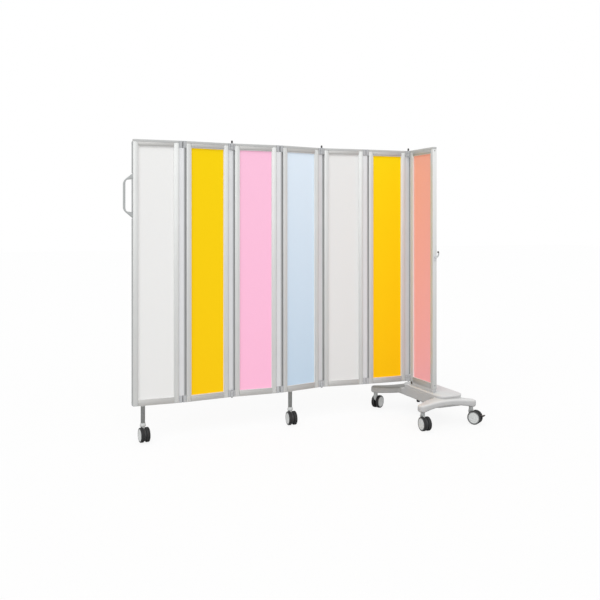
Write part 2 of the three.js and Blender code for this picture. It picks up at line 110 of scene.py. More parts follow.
def drawn_aluminium(name, squeeze, colour, dull):
    """Extrusion with a thin coat: a satin sheen with faint lines that the die drew along it."""
    material = new_finish(name)
    place = add(material, "TexCoord", {}).outputs["Object"]
    along = add(material, "Mapping", {"Vector": place, "Scale": squeeze})
    lines = add(
        material, "TexNoise",
        {"Vector": along.outputs[0], "Scale": 1 / (DIE_LINE_SPACING * MM), "Detail": 3},
    )
    cloud = add(
        material, "TexNoise", {"Vector": place, "Scale": 1 / (ALUMINIUM_CLOUD * MM), "Detail": 2}
    )
    shade = add(
        material, "Mix", {0: cloud.outputs[0], 6: linear(colour), 7: linear(dull)},
        data_type="RGBA",
    )
    low, high = SATIN_ROUGHNESS
    sheen = add(material, "MapRange", {"Value": lines.outputs[0], "To Min": low, "To Max": high})
    bump = add(
        material, "Bump",
        {
            "Height": lines.outputs[0], "Strength": DIE_LINE_STRENGTH,
            "Distance": DIE_LINE_DEPTH * MM,
        },
    )
    metal = add(
        material, "BsdfPrincipled",
        {
            "Base Color": shade.outputs[2], "Metallic": SATIN_METAL, "Roughness": sheen.outputs[0],
            "Specular Tint": linear(EDGE_SHEEN), "Normal": bump.outputs[0],
        },
    )
    add(material, "OutputMaterial", {"Surface": metal.outputs[0]})
    return material


def arc(x, y, radius, start, end, steps):
    """Points round an arc, from one angle in degrees to another."""
    angles = [math.radians(start + (end - start) * i / steps) for i in range(steps + 1)]
    return [(x + radius * math.cos(a), y + radius * math.sin(a)) for a in angles]


def prism(outline, low, high):
    """A closed bar along z between two heights, from an outline of x, y points."""
    solid = bmesh.new()
    face = solid.faces.new([solid.verts.new((x, y, low)) for x, y in outline])
    raised = bmesh.ops.extrude_face_region(solid, geom=[face])
    risen = [item for item in raised["geom"] if isinstance(item, bmesh.types.BMVert)]
    bmesh.ops.translate(solid, verts=risen, vec=(0, 0, high - low))
    bmesh.ops.recalc_face_normals(solid, faces=solid.faces)
    return solid


def soften(solid, width, segments, sharper_than):
    """Rounds the edges that are sharper than an angle in degrees."""
    limit = math.radians(sharper_than)
    edges = [e for e in solid.edges if len(e.link_faces) == 2 and e.calc_face_angle() > limit]
    bmesh.ops.bevel(
        solid, geom=edges, offset=width, segments=segments, profile=0.5, affect="EDGES",
        clamp_overlap=True,
    )
    return solid


def combined(*parts):
    """Several meshes in millimetres as one, emptying them."""
    whole = parts[0]
    for part in parts[1:]:
        loose = bpy.data.meshes.new("loose")
        part.to_mesh(loose)
        part.free()
        whole.from_mesh(loose)
        bpy.data.meshes.remove(loose)
    return whole


def moved(solid, x=0, y=0, z=0):
    solid.transform(Matrix.Translation((x, y, z)))
    return solid


def finished(name, solid, material, smooth_under=40):
    """A mesh in metres with its material, smooth except at edges sharper than an angle."""
    solid.transform(Matrix.Scale(MM, 4))
    mesh = bpy.data.meshes.new(name)
    solid.to_mesh(mesh)
    solid.free()
    mesh.shade_smooth()
    mesh.set_sharp_from_angle(angle=math.radians(smooth_under))
    mesh.materials.append(material)
    return mesh


def fitted(name, mesh, place, body, slot, *nodes):
    """A piece in its place, riding on its body and standing for its CAD nodes."""
    piece = bpy.data.objects.new(name, mesh)
    piece.matrix_world = place
    bpy.context.scene.collection.objects.link(piece)
    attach(piece, body)
    if nodes:
        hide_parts(*nodes)
    return piece


def body_of_leaf(number):
    return "base" if number == LEAF_COUNT else f"leaf_{number}"


def leaf_place(number):
    """Leaf coordinates in the room: x from its left edge, y from its front, z from the floor."""
    corners = [v.co for v in frame["nodes"][f"leaf_{number}_infill"].data.vertices]
    middle = sum(corners, Vector()) / len(corners)
    reaches = [(corner - middle).xy for corner in corners]
    same_way = (r if r.dot(reaches[0]) > 0 else -r for r in reaches)
    along = sum(same_way, Vector((0, 0))).normalized()
    line = min(number, LEAF_COUNT - 1)
    hinge = Vector(joint_named[f"fold_{line}"]["pos_m"]).xy - middle.xy
    if (hinge.dot(along) > 0) != (number < LEAF_COUNT):
        along = -along
    across = Vector((-along.y, along.x))
    start = middle.xy - (along * LEAF_WIDTH + across * LEAF_THICKNESS) * MM / 2
    turn = Matrix.Rotation(math.atan2(along.y, along.x), 4, "Z")
    return Matrix.Translation((start.x, start.y, 0)) @ turn


def stile_outline():
    """The left stile seen from above, its step and groove on the inner side."""
    sheet_front = (LEAF_THICKNESS - SHEET_THICKNESS) / 2 - FIT
    sheet_rear = LEAF_THICKNESS - sheet_front
    step = STILE_WIDTH - STEP_WIDTH
    groove = STILE_WIDTH - GROOVE_DEPTH
    corner = STILE_CORNER
    return [
        *arc(corner, corner, corner, 270, 180, 5),
        *arc(corner, LEAF_THICKNESS - corner, corner, 180, 90, 5),
        (step, LEAF_THICKNESS),
        (step, LEAF_THICKNESS - STEP_DEPTH),
        (STILE_WIDTH, LEAF_THICKNESS - STEP_DEPTH),
        (STILE_WIDTH, sheet_rear),
        (groove, sheet_rear),
        (groove, sheet_front),
        (STILE_WIDTH, sheet_front),
        (STILE_WIDTH, STEP_DEPTH),
        (step, STEP_DEPTH),
        (step, 0),
    ]


def stile_pair():
    low, high = leaf_low + FOOT_HEIGHT, leaf_high - CAP_HEIGHT
    left = stile_outline()
    right = [(LEAF_WIDTH - x, y) for x, y in reversed(left)]
    pair = combined(prism(left, low, high), prism(right, low, high))
    return soften(pair, STILE_EDGE, 2, 60)


# Satin anodised aluminium, which takes a soft light down the bar instead of a mirror streak.
upright_metal = drawn_aluminium(
    "anodised_aluminium_uprights", (1, 1, DIE_LINE_SQUEEZE), ALUMINIUM, ALUMINIUM_DULL
)
stile_mesh = finished("stiles", stile_pair(), upright_metal)
places = {number: leaf_place(number) for number in range(1, LEAF_COUNT + 1)}
for number, place in places.items():
    name, node = f"leaf_{number}_stiles", f"leaf_{number}_frame"
    fitted(name, stile_mesh, place, body_of_leaf(number), "frame_aluminium", node)


# Leaf rails
# A top and a bottom bar of the same extrusion, butted between the stiles. Their anodising is
# painted a little greyer than the stiles', painted shade because they lie across the light.

TOP_RAIL_HEIGHT = 36
BOTTOM_RAIL_HEIGHT = 33
JOINT_GAP = 0.25
RAIL_EDGE = 0.4
# Painted shade: the rails' colour is greyer than the stiles' because they lie across the light.
RAIL_SHADED_GREY = "#c6c6c4"
RAIL_SHADED_GREY_DULL = "#bcbbb9"
# Lays what was made along z along x, with its x across the leaf and its y upwards.
LAID_ALONG_X = Matrix(((0, 0, 1, 0), (1, 0, 0, 0), (0, 1, 0, 0), (0, 0, 0, 1)))


def rail(edge, inner):
    """A rail between the stiles, from its outer edge to its inner one, which has the step."""
    step = inner - math.copysign(STEP_WIDTH, inner - edge)
    rear = LEAF_THICKNESS
    outline = [
        (0, edge), (rear, edge), (rear, step), (rear - STEP_DEPTH, step),
        (rear - STEP_DEPTH, inner), (STEP_DEPTH, inner), (STEP_DEPTH, step), (0, step),
    ]
    bar = prism(outline, STILE_WIDTH + JOINT_GAP, LEAF_WIDTH - STILE_WIDTH - JOINT_GAP)
    bar.transform(LAID_ALONG_X)
    return bar


def rail_pair():
    top = rail(leaf_high - CAP_HEIGHT, leaf_high - TOP_RAIL_HEIGHT)
    bottom = rail(leaf_low, leaf_low + BOTTOM_RAIL_HEIGHT)
    return soften(combined(top, bottom), RAIL_EDGE, 2, 60)


# The same anodising with its lines along the rail, painted a tone greyer as shade.
shaded_rail_metal = drawn_aluminium(
    "anodised_aluminium_rails_painted_shade", (DIE_LINE_SQUEEZE, 1, 1), RAIL_SHADED_GREY, RAIL_SHADED_GREY_DULL
)
rail_mesh = finished("rails", rail_pair(), shaded_rail_metal)
for number, place in places.items():
    fitted(f"leaf_{number}_rails", rail_mesh, place, body_of_leaf(number), "frame_aluminium")


# Leaf end caps
# A moulded grey nylon cap closes the whole top of each leaf, and a small foot plugs each stile's
# lower end. The nylon is fine-grained and dull beside the metal.

CAP_EDGE = 1
FOOT_EDGE = 0.6
CAP_GREY = "#b8bab9"
CAP_GREY_PALE = "#c3c4c3"
# A spark-eroded mould leaves a grain of about 0.1 mm, drawn coarser so that it shows.
NYLON_GRAIN = 1.5
NYLON_GRAIN_DEPTH = 0.12
NYLON_IOR = 1.53
NYLON_ROUGHNESS = 0.5
GRAIN_STRENGTH = 0.25
GLOSS_SPREAD = 0.06
MOULDED_CLOUD = 55.56


def fine_grained(
    name, colour, pale, roughness=NYLON_ROUGHNESS, grain=NYLON_GRAIN, depth=NYLON_GRAIN_DEPTH,
    ior=NYLON_IOR,
):
    """A matt to satin surface: a fine shallow grain over a soft, slightly uneven colour."""
    material = new_finish(name)
    place = add(material, "TexCoord", {}).outputs["Object"]
    pits = add(material, "TexNoise", {"Vector": place, "Scale": 1 / (grain * MM), "Detail": 2})
    cloud = add(
        material, "TexNoise", {"Vector": place, "Scale": 1 / (MOULDED_CLOUD * MM), "Detail": 3}
    )
    shade = add(
        material, "Mix", {0: cloud.outputs[0], 6: linear(colour), 7: linear(pale)},
        data_type="RGBA",
    )
    low, high = roughness - GLOSS_SPREAD, roughness + GLOSS_SPREAD
    gloss = add(material, "MapRange", {"Value": cloud.outputs[0], "To Min": low, "To Max": high})
    bump = add(
        material, "Bump",
        {"Height": pits.outputs[0], "Strength": GRAIN_STRENGTH, "Distance": depth * MM},
    )
    skin = add(
        material, "BsdfPrincipled",
        {
            "Base Color": shade.outputs[2], "Roughness": gloss.outputs[0], "IOR": ior,
            "Normal": bump.outputs[0],
        },
    )
    add(material, "OutputMaterial", {"Surface": skin.outputs[0]})
    return material


def round_outline(x0, x1, y0, y1, corner, steps):
    """A rectangle with round corners."""
    return [
        *arc(x1 - corner, y0 + corner, corner, -90, 0, steps),
        *arc(x1 - corner, y1 - corner, corner, 0, 90, steps),
        *arc(x0 + corner, y1 - corner, corner, 90, 180, steps),
        *arc(x0 + corner, y0 + corner, corner, 180, 270, steps),
    ]


def round_box(x0, x1, y0, y1, z0, z1, corner, edge, steps=5):
    """A block with upright corners of one radius and softened edges of another."""
    return soften(prism(round_outline(x0, x1, y0, y1, corner, steps), z0, z1), edge, 3, 60)


def leaf_caps():
    """The cap over the whole top of the leaf and the feet under its two stiles."""
    levels = leaf_high - CAP_HEIGHT + JOINT_GAP, leaf_high
    cap = round_box(0, LEAF_WIDTH, 0, LEAF_THICKNESS, *levels, STILE_CORNER, CAP_EDGE)
    levels = leaf_low, leaf_low + FOOT_HEIGHT - JOINT_GAP
    feet = [
        round_box(x, x + STILE_WIDTH, 0, LEAF_THICKNESS, *levels, STILE_CORNER, FOOT_EDGE)
        for x in (0, LEAF_WIDTH - STILE_WIDTH)
    ]
    return combined(cap, *feet)


# Moulded nylon, even and dull beside the metal.
cap_nylon = fine_grained("grey_nylon_caps", CAP_GREY, CAP_GREY_PALE)
cap_mesh = finished("caps", leaf_caps(), cap_nylon)
for number, place in places.items():
    fitted(f"leaf_{number}_caps", cap_mesh, place, body_of_leaf(number), "frame_aluminium")


# Glazing beads
# A white plastic bead is snapped in round each sheet on both faces. It steadies the sheet in its
# groove and lines the edge of the frame's opening.

BEAD_THICKNESS = 1.4
BEAD_BELOW_STEP = 0.4
BEAD_EDGE = 0.4
BEAD_WHITE = "#f0f0ef"
BEAD_WHITE_DULL = "#e8e8e7"


def bead_ring(y0, y1):
    """Four mitred strips round the opening, between two depths."""
    x0, x1 = STILE_WIDTH, LEAF_WIDTH - STILE_WIDTH
    z0, z1 = leaf_low + BOTTOM_RAIL_HEIGHT, leaf_high - TOP_RAIL_HEIGHT
    solid = bmesh.new()
    rings = []
    for inset in (0, BEAD_THICKNESS):
        for y in (y0, y1):
            left, right, low, high = x0 + inset, x1 - inset, z0 + inset, z1 - inset
            corners = [(left, low), (right, low), (right, high), (left, high)]
            rings.append([solid.verts.new((x, y, z)) for x, z in corners])
    outer_front, outer_rear, inner_front, inner_rear = rings
    around = [outer_front, inner_front, inner_rear, outer_rear]
    for a, b in zip(around, [*around[1:], outer_front]):
        for i in range(4):
            j = (i + 1) % 4
            solid.faces.new((a[i], a[j], b[j], b[i]))
    bmesh.ops.recalc_face_normals(solid, faces=solid.faces)
    return solid


def glazing_beads():
    outer = STEP_DEPTH + BEAD_BELOW_STEP
    sheet = (LEAF_THICKNESS - SHEET_THICKNESS) / 2
    front = bead_ring(outer, sheet)
    rear = bead_ring(LEAF_THICKNESS - sheet, LEAF_THICKNESS - outer)
    return soften(combined(front, rear), BEAD_EDGE, 1, 60)


# Extruded white plastic, satin, which throws light on the edge of the sheet.
bead_plastic = fine_grained("white_plastic_glazing_bead", BEAD_WHITE, BEAD_WHITE_DULL, 0.45)
bead_mesh = finished("beads", glazing_beads(), bead_plastic)
for number, place in places.items():
    fitted(f"leaf_{number}_glazing_beads", bead_mesh, place, body_of_leaf(number), "infill_white")


# Infill sheets
# Seven wipe-clean plastic sheets, each its own colour, slid into the grooves of the frames. They
# are satin, with a faint leather-like press, and painted shade drifts most of them darker
# downwards.

# The real press is about 0.5 mm across, drawn coarser so that it shows.
SHEET_PRESS = 6
PRESS_DEPTH = 0.5
PRESS_STRENGTH = 0.4
SHEET_ROUGHNESS = (0.42, 0.56)
SHEET_GLOSS = 0.12
SHEET_IOR = 1.49
# Each sheet's colour at the top and at the bottom. The lower one is darker as painted shade of
# light falling off towards the floor; the coral sheet turns pinker instead.
SHEETS = {
    1: ("white", "#f1f1f0", "#e9e9e8"),
    2: ("yellow", "#fdd800", "#fdcd06"),
    3: ("pink", "#ffc6e1", "#ffbedc"),
    4: ("blue", "#e6f3ff", "#c5daec"),
    5: ("pale_grey", "#ebebea", "#e2e2e1"),
    6: ("amber", "#ffdc02", "#ffc602"),
    7: ("coral", "#ffb49d", "#ffb5bc"),
}


def pressed_sheet(name, top, bottom):
    """Pressed plastic: satin, a fine shallow press, and a colour that drifts down as painted shade.
    """
    material = new_finish(name)
    place = add(material, "TexCoord", {}).outputs["Object"]
    split = add(material, "SeparateXYZ", {"Vector": place})
    rise = add(
        material, "MapRange",
        {"Value": split.outputs[2], "From Min": leaf_low * MM, "From Max": leaf_high * MM},
    )
    press = add(
        material, "TexNoise", {"Vector": place, "Scale": 1 / (SHEET_PRESS * MM), "Detail": 3}
    )
    # Painted shade: the colour drifts from top to bottom as the light falls off towards the floor.
    painted_shade_drift = add(
        material, "Mix", {0: rise.outputs[0], 6: linear(bottom), 7: linear(top)},
        data_type="RGBA",
    )
    low, high = SHEET_ROUGHNESS
    gloss = add(material, "MapRange", {"Value": press.outputs[0], "To Min": low, "To Max": high})
    bump = add(
        material, "Bump",
        {"Height": press.outputs[0], "Strength": PRESS_STRENGTH, "Distance": PRESS_DEPTH * MM},
    )
    plastic = add(
        material, "BsdfPrincipled",
        {
            "Base Color": painted_shade_drift.outputs[2], "Roughness": gloss.outputs[0], "IOR": SHEET_IOR,
            "Specular IOR Level": SHEET_GLOSS, "Normal": bump.outputs[0],
        },
    )
    add(material, "OutputMaterial", {"Surface": plastic.outputs[0]})
    return material


# Satin plastic in clear pastel and strong colours, so flat that only a broad soft sheen shows.
for number, (colour, top, bottom) in SHEETS.items():
    sheet = frame["nodes"][f"leaf_{number}_infill"]
    sheet.data.materials.clear()
    sheet.data.materials.append(pressed_sheet(f"satin_sheet_{colour}", top, bottom))


# Sight strips
# A white-coated aluminium extrusion fills the gap on the right of each leaf but the last, between
# the two hinge blocks, so that nobody sees through. It has round edges and two shallow flutes.

STRIP_START = FIT
STRIP_END = 28
STRIP_INSET = 3
STRIP_CORNER = 2.5
NECK_LENGTH = 1
NECK_INSET = 1.5
NECK_CORNER = 0.6
FLUTE_SHARES = (0.34, 0.66)
FLUTE_HALF_WIDTH = 0.8
FLUTE_DEPTH = 0.3
BLOCK_HEIGHT = 38
BLOCK_GAP = 0.5
STRIP_WHITE = "#e3e4e6"
STRIP_WHITE_DULL = "#dadbdd"

gap_low = leaf_low + BLOCK_HEIGHT + BLOCK_GAP
gap_high = leaf_high - BLOCK_HEIGHT - BLOCK_GAP


def sight_strip():
    """The strip, with a narrow neck where it meets the stile."""
    x0, x1 = LEAF_WIDTH + STRIP_START, LEAF_WIDTH + STRIP_END
    y0, y1 = STRIP_INSET, LEAF_THICKNESS - STRIP_INSET
    neck, turn, corner, half = x0 + NECK_LENGTH, NECK_CORNER, STRIP_CORNER, FLUTE_HALF_WIDTH
    flutes = [x0 + (x1 - x0) * share for share in FLUTE_SHARES]
    outline = [(x0, y0 + NECK_INSET), (neck, y0 + NECK_INSET)]
    outline += arc(neck + turn, y0 + turn, turn, 180, 270, 2)
    for x in flutes:
        outline += [(x - half, y0), (x, y0 + FLUTE_DEPTH), (x + half, y0)]
    outline += arc(x1 - corner, y0 + corner, corner, -90, 0, 4)
    outline += arc(x1 - corner, y1 - corner, corner, 0, 90, 4)
    for x in reversed(flutes):
        outline += [(x + half, y1), (x, y1 - FLUTE_DEPTH), (x - half, y1)]
    outline += arc(neck + turn, y1 - turn, turn, 90, 180, 2)
    outline += [(neck, y1 - NECK_INSET), (x0, y1 - NECK_INSET)]
    return prism(outline, gap_low, gap_high)


# White satin coating, thin enough for the die lines to show through.
strip_coat = drawn_aluminium(
    "white_coated_aluminium_strip", (1, 1, DIE_LINE_SQUEEZE), STRIP_WHITE, STRIP_WHITE_DULL
)
strip_mesh = finished("strip", sight_strip(), strip_coat, 30)
for line in range(1, LEAF_COUNT):
    name, node = f"hinge_{line}_sight_strip", f"hinge_{line}_strip"
    fitted(name, strip_mesh, places[line], f"leaf_{line}", "sight_strip", node)


# Gap lips
# Two grey rubber lips pushed into the right edge of every sight strip. They close the last of the
# gap up to the next leaf. Their grey is their own and partly painted shade of the joint, a darker
# line down it.

LIP_REACH = 9.2
LIP_ROOT = 1
LIP_THICKNESS = 3
LIP_INSET = 1.2
# Partly painted shade: the lips' grey stands in for the shadow in the joint.
LIP_GAP_SHADE_GREY = "#9d9fa0"
LIP_GAP_SHADE_GREY_PALE = "#a8aaab"
# The matt grain of rubber is about 0.1 mm, drawn coarser so that it shows.
RUBBER_GRAIN = 1
RUBBER_GRAIN_DEPTH = 0.06
RUBBER_IOR = 1.52


def gap_lips():
    edge = LEAF_WIDTH + STRIP_END
    nose = LIP_THICKNESS / 2
    inset = STRIP_INSET + LIP_INSET + nose
    lips = []
    for y in (inset, LEAF_THICKNESS - inset):
        root = [(edge - LIP_ROOT, y + nose), (edge - LIP_ROOT, y - nose)]
        tip = arc(edge + LIP_REACH - nose, y, nose, -90, 90, 8)
        lips.append(prism([*root, *tip], gap_low, gap_high))
    return combined(*lips)


# Extruded rubber, matt all over, which hardly catches the light.
rubber = {"grain": RUBBER_GRAIN, "depth": RUBBER_GRAIN_DEPTH, "ior": RUBBER_IOR}
lip_rubber = fine_grained("grey_lip_rubber", LIP_GAP_SHADE_GREY, LIP_GAP_SHADE_GREY_PALE, 0.7, **rubber)
lip_mesh = finished("lips", gap_lips(), lip_rubber)
for line in range(1, LEAF_COUNT):
    fitted(f"hinge_{line}_gap_lips", lip_mesh, places[line], f"leaf_{line}", "dark_plastic")


# Hinge blocks
# Cast blocks with a grey powder coat at the top and bottom of every leaf joint. Their knuckles turn
# on a steel pin in front of the faces at even joints and behind them at odd ones.

HINGE_REACH = 19
HINGE_PROUD = 2
KNUCKLE_RADIUS = 8
KNUCKLE_EDGE = 0.6
BLOCK_CORNER = 1.2
BLOCK_EDGE = 0.8
RECESS_RADIUS = 3.4
RECESS_DEPTH = 1
BLOCK_GREY = "#b0b2b4"
BLOCK_GREY_PALE = "#babcbe"
# Powder coat dries in low waves about 2 mm apart.
COAT_WAVE = 2
COAT_DEPTH = 0.15
COAT_IOR = 1.5
# Corners that lie closer than this are made one.
WELD = 0.001


def hinge_y(line):
    return -HINGE_PROUD if line % 2 == 0 else LEAF_THICKNESS + HINGE_PROUD


def barrel(x, y, low, high, radius, edge=0.0, sides=40):
    """An upright cylinder with softened rims."""
    solid = bmesh.new()
    bmesh.ops.create_cone(
        solid, cap_ends=True, segments=sides, radius1=radius, radius2=radius, depth=high - low
    )
    if edge:
        soften(solid, edge, 2, 60)
    return moved(solid, x, y, (low + high) / 2)


def evaluated(piece):
    """What a scratch object's modifiers make of its mesh."""
    bpy.context.view_layer.update()
    shaped = piece.evaluated_get(bpy.context.evaluated_depsgraph_get()).to_mesh()
    result = bmesh.new()
    result.from_mesh(shaped)
    return result


def sculpted(body, added, removed):
    """A mesh with others joined to it and cut from it as solids."""
    scratch = []
    for part in (body, *added, *removed):
        mesh = bpy.data.meshes.new("scratch")
        part.to_mesh(mesh)
        part.free()
        scratch.append(bpy.data.objects.new("scratch", mesh))
        bpy.context.scene.collection.objects.link(scratch[-1])
    target = scratch[0]
    for tool in scratch[1:]:
        step = target.modifiers.new("step", "BOOLEAN")
        step.object = tool
        step.operation = "UNION" if scratch.index(tool) <= len(added) else "DIFFERENCE"
        step.solver = "EXACT"
    result = evaluated(target)
    for piece in scratch:
        bpy.data.meshes.remove(piece.data)
    bmesh.ops.remove_doubles(result, verts=result.verts, dist=WELD)
    return result


def block_levels(at_top):
    """The heights between which a block and each leaf's share of its knuckle lie."""
    sign = 1 if at_top else -1
    outer = leaf_high if at_top else leaf_low
    inner = outer - sign * BLOCK_HEIGHT
    split = (outer + inner) / 2
    left = sorted((inner, split - sign * BLOCK_GAP / 2))
    right = sorted((split + sign * BLOCK_GAP / 2, outer))
    return sorted((inner, outer)), left, right


def hinge_half(on_left, line, at_top):
    """One half block, in the coordinates of the leaf that carries it."""
    body, left, right = block_levels(at_top)
    own, other = (left, right) if on_left else (right, left)
    axis = LEAF_WIDTH + HINGE_REACH if on_left else -HINGE_REACH
    x0, x1 = (LEAF_WIDTH + FIT, axis - BLOCK_GAP) if on_left else (axis + BLOCK_GAP, -FIT)
    y = hinge_y(line)
    low, high = other[0] - BLOCK_GAP, other[1] + BLOCK_GAP
    clear = barrel(axis, y, low, high, KNUCKLE_RADIUS + BLOCK_GAP)
    plate = round_box(x0, x1, 0, LEAF_THICKNESS, *body, BLOCK_CORNER, BLOCK_EDGE, 3)
    knuckle = barrel(axis, y, *own, KNUCKLE_RADIUS, KNUCKLE_EDGE)
    low, high = body[1] - RECESS_DEPTH, body[1] + RECESS_DEPTH
    recess = barrel((x0 + x1) / 2, LEAF_THICKNESS / 2, low, high, RECESS_RADIUS, 0, 20)
    return sculpted(plate, [knuckle], [clear, recess] if at_top else [clear])


# Powder coat, a thick even satin skin with a faint orange peel.
powder_coat = {"grain": COAT_WAVE, "depth": COAT_DEPTH, "ior": COAT_IOR}
block_coat = fine_grained("grey_powder_coated_hinge", BLOCK_GREY, BLOCK_GREY_PALE, **powder_coat)
halves = {}
for line in range(1, LEAF_COUNT):
    for at_top in (True, False):
        level = "top" if at_top else "bottom"
        for on_left in (True, False):
            key = (on_left, line % 2, at_top)
            if key not in halves:
                half = hinge_half(on_left, line, at_top)
                halves[key] = finished("hinge_half", half, block_coat, 30)
            carrier = line if on_left else line + 1
            nodes = [] if on_left else [f"hinge_{line}_{level}_block"]
            name = f"hinge_{line}_{level}_{'left' if on_left else 'right'}_half"
            body = body_of_leaf(carrier)
            fitted(name, halves[key], places[carrier], body, "hinge_grey", *nodes)


# Hinge pins
# Blackened steel pins through the knuckles. At even joints each ends in a tall dark cap above the
# leaf and a small foot below it, and at odd joints it is cut flush.

PIN_RADIUS = 3.8
PIN_EDGE = 0.4
PIN_SIDES = 28
PIN_CAP_RADIUS = 5.5
PIN_CAP_HEIGHT = 16
PIN_FOOT_HEIGHT = 3
PIN_NECK_RADIUS = 3.6
PIN_NECK_HEIGHT = 1.2
PIN_NECK_FLARE = 0.6
PIN_DOME_HEIGHT = 4
PIN_DARK = "#4b4a4a"
PIN_DARK_PALE = "#5c5b5b"
# Tool marks are about 0.1 mm apart, drawn coarser so that they show.
TOOL_MARKS = 2
TOOL_MARK_SQUEEZE = (0.05, 0.05, 1)
TOOL_MARK_DEPTH = 0.05
TOOL_MARK_STRENGTH = 0.1
STEEL_METAL = 0.9
STEEL_ROUGHNESS = 0.3
STEEL_CLOUD = 33.33
STEEL_GLOSS_SPREAD = (-0.06, 0.08)


def plated_steel(name, colour, dull, roughness=STEEL_ROUGHNESS):
    """Turned steel with a thin finish on it: clouded, with fine tool marks round the bar."""
    material = new_finish(name)
    place = add(material, "TexCoord", {}).outputs["Object"]
    around = add(material, "Mapping", {"Vector": place, "Scale": TOOL_MARK_SQUEEZE})
    marks = add(
        material, "TexNoise",
        {"Vector": around.outputs[0], "Scale": 1 / (TOOL_MARKS * MM), "Detail": 3},
    )
    cloud = add(
        material, "TexNoise", {"Vector": place, "Scale": 1 / (STEEL_CLOUD * MM), "Detail": 3}
    )
    shade = add(
        material, "Mix", {0: cloud.outputs[0], 6: linear(colour), 7: linear(dull)},
        data_type="RGBA",
    )
    low, high = (roughness + change for change in STEEL_GLOSS_SPREAD)
    gloss = add(material, "MapRange", {"Value": marks.outputs[0], "To Min": low, "To Max": high})
    bump = add(
        material, "Bump",
        {
            "Height": marks.outputs[0], "Strength": TOOL_MARK_STRENGTH,
            "Distance": TOOL_MARK_DEPTH * MM,
        },
    )
    metal = add(
        material, "BsdfPrincipled",
        {
            "Base Color": shade.outputs[2], "Metallic": STEEL_METAL,
            "Roughness": gloss.outputs[0], "Normal": bump.outputs[0],
        },
    )
    add(material, "OutputMaterial", {"Surface": metal.outputs[0]})
    return material


def lathed(profile, steps=40):
    """A solid turned about z from points of radius and height that start and end on the axis."""
    solid = bmesh.new()
    points = [solid.verts.new((radius, 0, height)) for radius, height in profile]
    edges = [solid.edges.new(pair) for pair in zip(points, points[1:])]
    bmesh.ops.spin(
        solid, geom=points + edges, axis=(0, 0, 1), cent=(0, 0, 0), angle=2 * math.pi, steps=steps
    )
    bmesh.ops.remove_doubles(solid, verts=solid.verts, dist=WELD)
    bmesh.ops.recalc_face_normals(solid, faces=solid.faces)
    return solid


def pin_cap(height):
    """A domed cap on a short neck, along z from its seat."""
    neck = min(PIN_NECK_HEIGHT, height / 3)
    rise = min(PIN_DOME_HEIGHT, height / 2)
    r, dome = PIN_CAP_RADIUS, arc(0, 0, 1, 0, 90, 6)
    return lathed([
        (0, 0), (PIN_NECK_RADIUS, 0), (PIN_NECK_RADIUS, neck), (r, neck + PIN_NECK_FLARE),
        *[(r * x, height - rise + rise * z) for x, z in dome],
    ])


def hinge_pin(line, at_top):
    """A pin through both shares of the knuckle, capped at an even joint."""
    _, left, right = block_levels(at_top)
    low, high = min(left[0], right[0]), max(left[1], right[1])
    end = (leaf_high + BLOCK_GAP) if at_top else (leaf_low - BLOCK_GAP)
    shaft = barrel(0, 0, min(low, end), max(high, end), PIN_RADIUS, PIN_EDGE, PIN_SIDES)
    if line % 2:
        return shaft
    cap = pin_cap(PIN_CAP_HEIGHT if at_top else PIN_FOOT_HEIGHT)
    if not at_top:
        cap.transform(Matrix.Rotation(math.pi, 4, "X"))
    return combined(shaft, moved(cap, z=end))


# Blackened steel, dark with a soft gleam on its edges.
pin_steel = plated_steel("blackened_steel_pin", PIN_DARK, PIN_DARK_PALE, 0.45)
for line in range(1, LEAF_COUNT):
    pins = combined(hinge_pin(line, True), hinge_pin(line, False))
    moved(pins, LEAF_WIDTH + HINGE_REACH, hinge_y(line))
    pin_mesh = finished("pins", pins, pin_steel)
    fitted(f"hinge_{line}_pins", pin_mesh, places[line], f"leaf_{line}", "dark_plastic")


# Pull handle
# A moulded grey nylon bow on the left edge of the first leaf, whose two legs widen into the frame.

HANDLE_SPAN = 246
HANDLE_DEPTH = 52
HANDLE_GRIP = 146
HANDLE_BAR = 12.5
HANDLE_THICKNESS = 16
HANDLE_EDGE = 5
HANDLE_LEG = 33
HANDLE_GREY = "#a9acac"
HANDLE_GREY_PALE = "#b4b7b7"
HANDLE_ROUND_SHARE = 0.95
BEND_STEPS = 12
# Where the bow's curves begin and end, as shares of its depth and of its span, leg or grip.
LEG_END_SHARES = (0.6, 0.79)
SHOULDER_SHARES = (1, 0.66)
GRIP_SHARE = 0.86
KNEE_SHARES = (0.6, 0.97)

handle_low, handle_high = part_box("pull_handle")
handle_height = (handle_low.z + handle_high.z) / 2 / MM


def bend(start, control, end):
    """Points along a curve that leaves a start towards a control point, without the start."""
    shares = [i / BEND_STEPS for i in range(1, BEND_STEPS + 1)]
    return [
        tuple(
            (1 - t) ** 2 * a + 2 * t * (1 - t) * c + t * t * b
            for a, c, b in zip(start, control, end)
        )
        for t in shares
    ]


def skinned(rings):
    """A closed solid through rings that have as many points each."""
    solid = bmesh.new()
    loops = [[solid.verts.new(point) for point in ring] for ring in rings]
    for a, b in zip(loops, loops[1:]):
        for k in range(len(a)):
            j = (k + 1) % len(a)
            solid.faces.new((a[k], a[j], b[j], b[k]))
    solid.faces.new(loops[0])
    solid.faces.new(loops[-1])
    bmesh.ops.recalc_face_normals(solid, faces=solid.faces)
    return solid


def handle_ring(inner, outer):
    """The bow's round-edged section from a point on its inner side to one on its outer side."""
    inner, outer = Vector(inner), Vector(outer)
    half, middle = (outer - inner).length / 2, (outer + inner) / 2
    across = (outer - inner).normalized()
    edge, thick = min(HANDLE_EDGE, half * HANDLE_ROUND_SHARE), HANDLE_THICKNESS / 2
    outline = round_outline(-half, half, -thick, thick, edge, 5)
    return [(middle.x + across.x * u, v, middle.y + across.y * u) for u, v in outline]


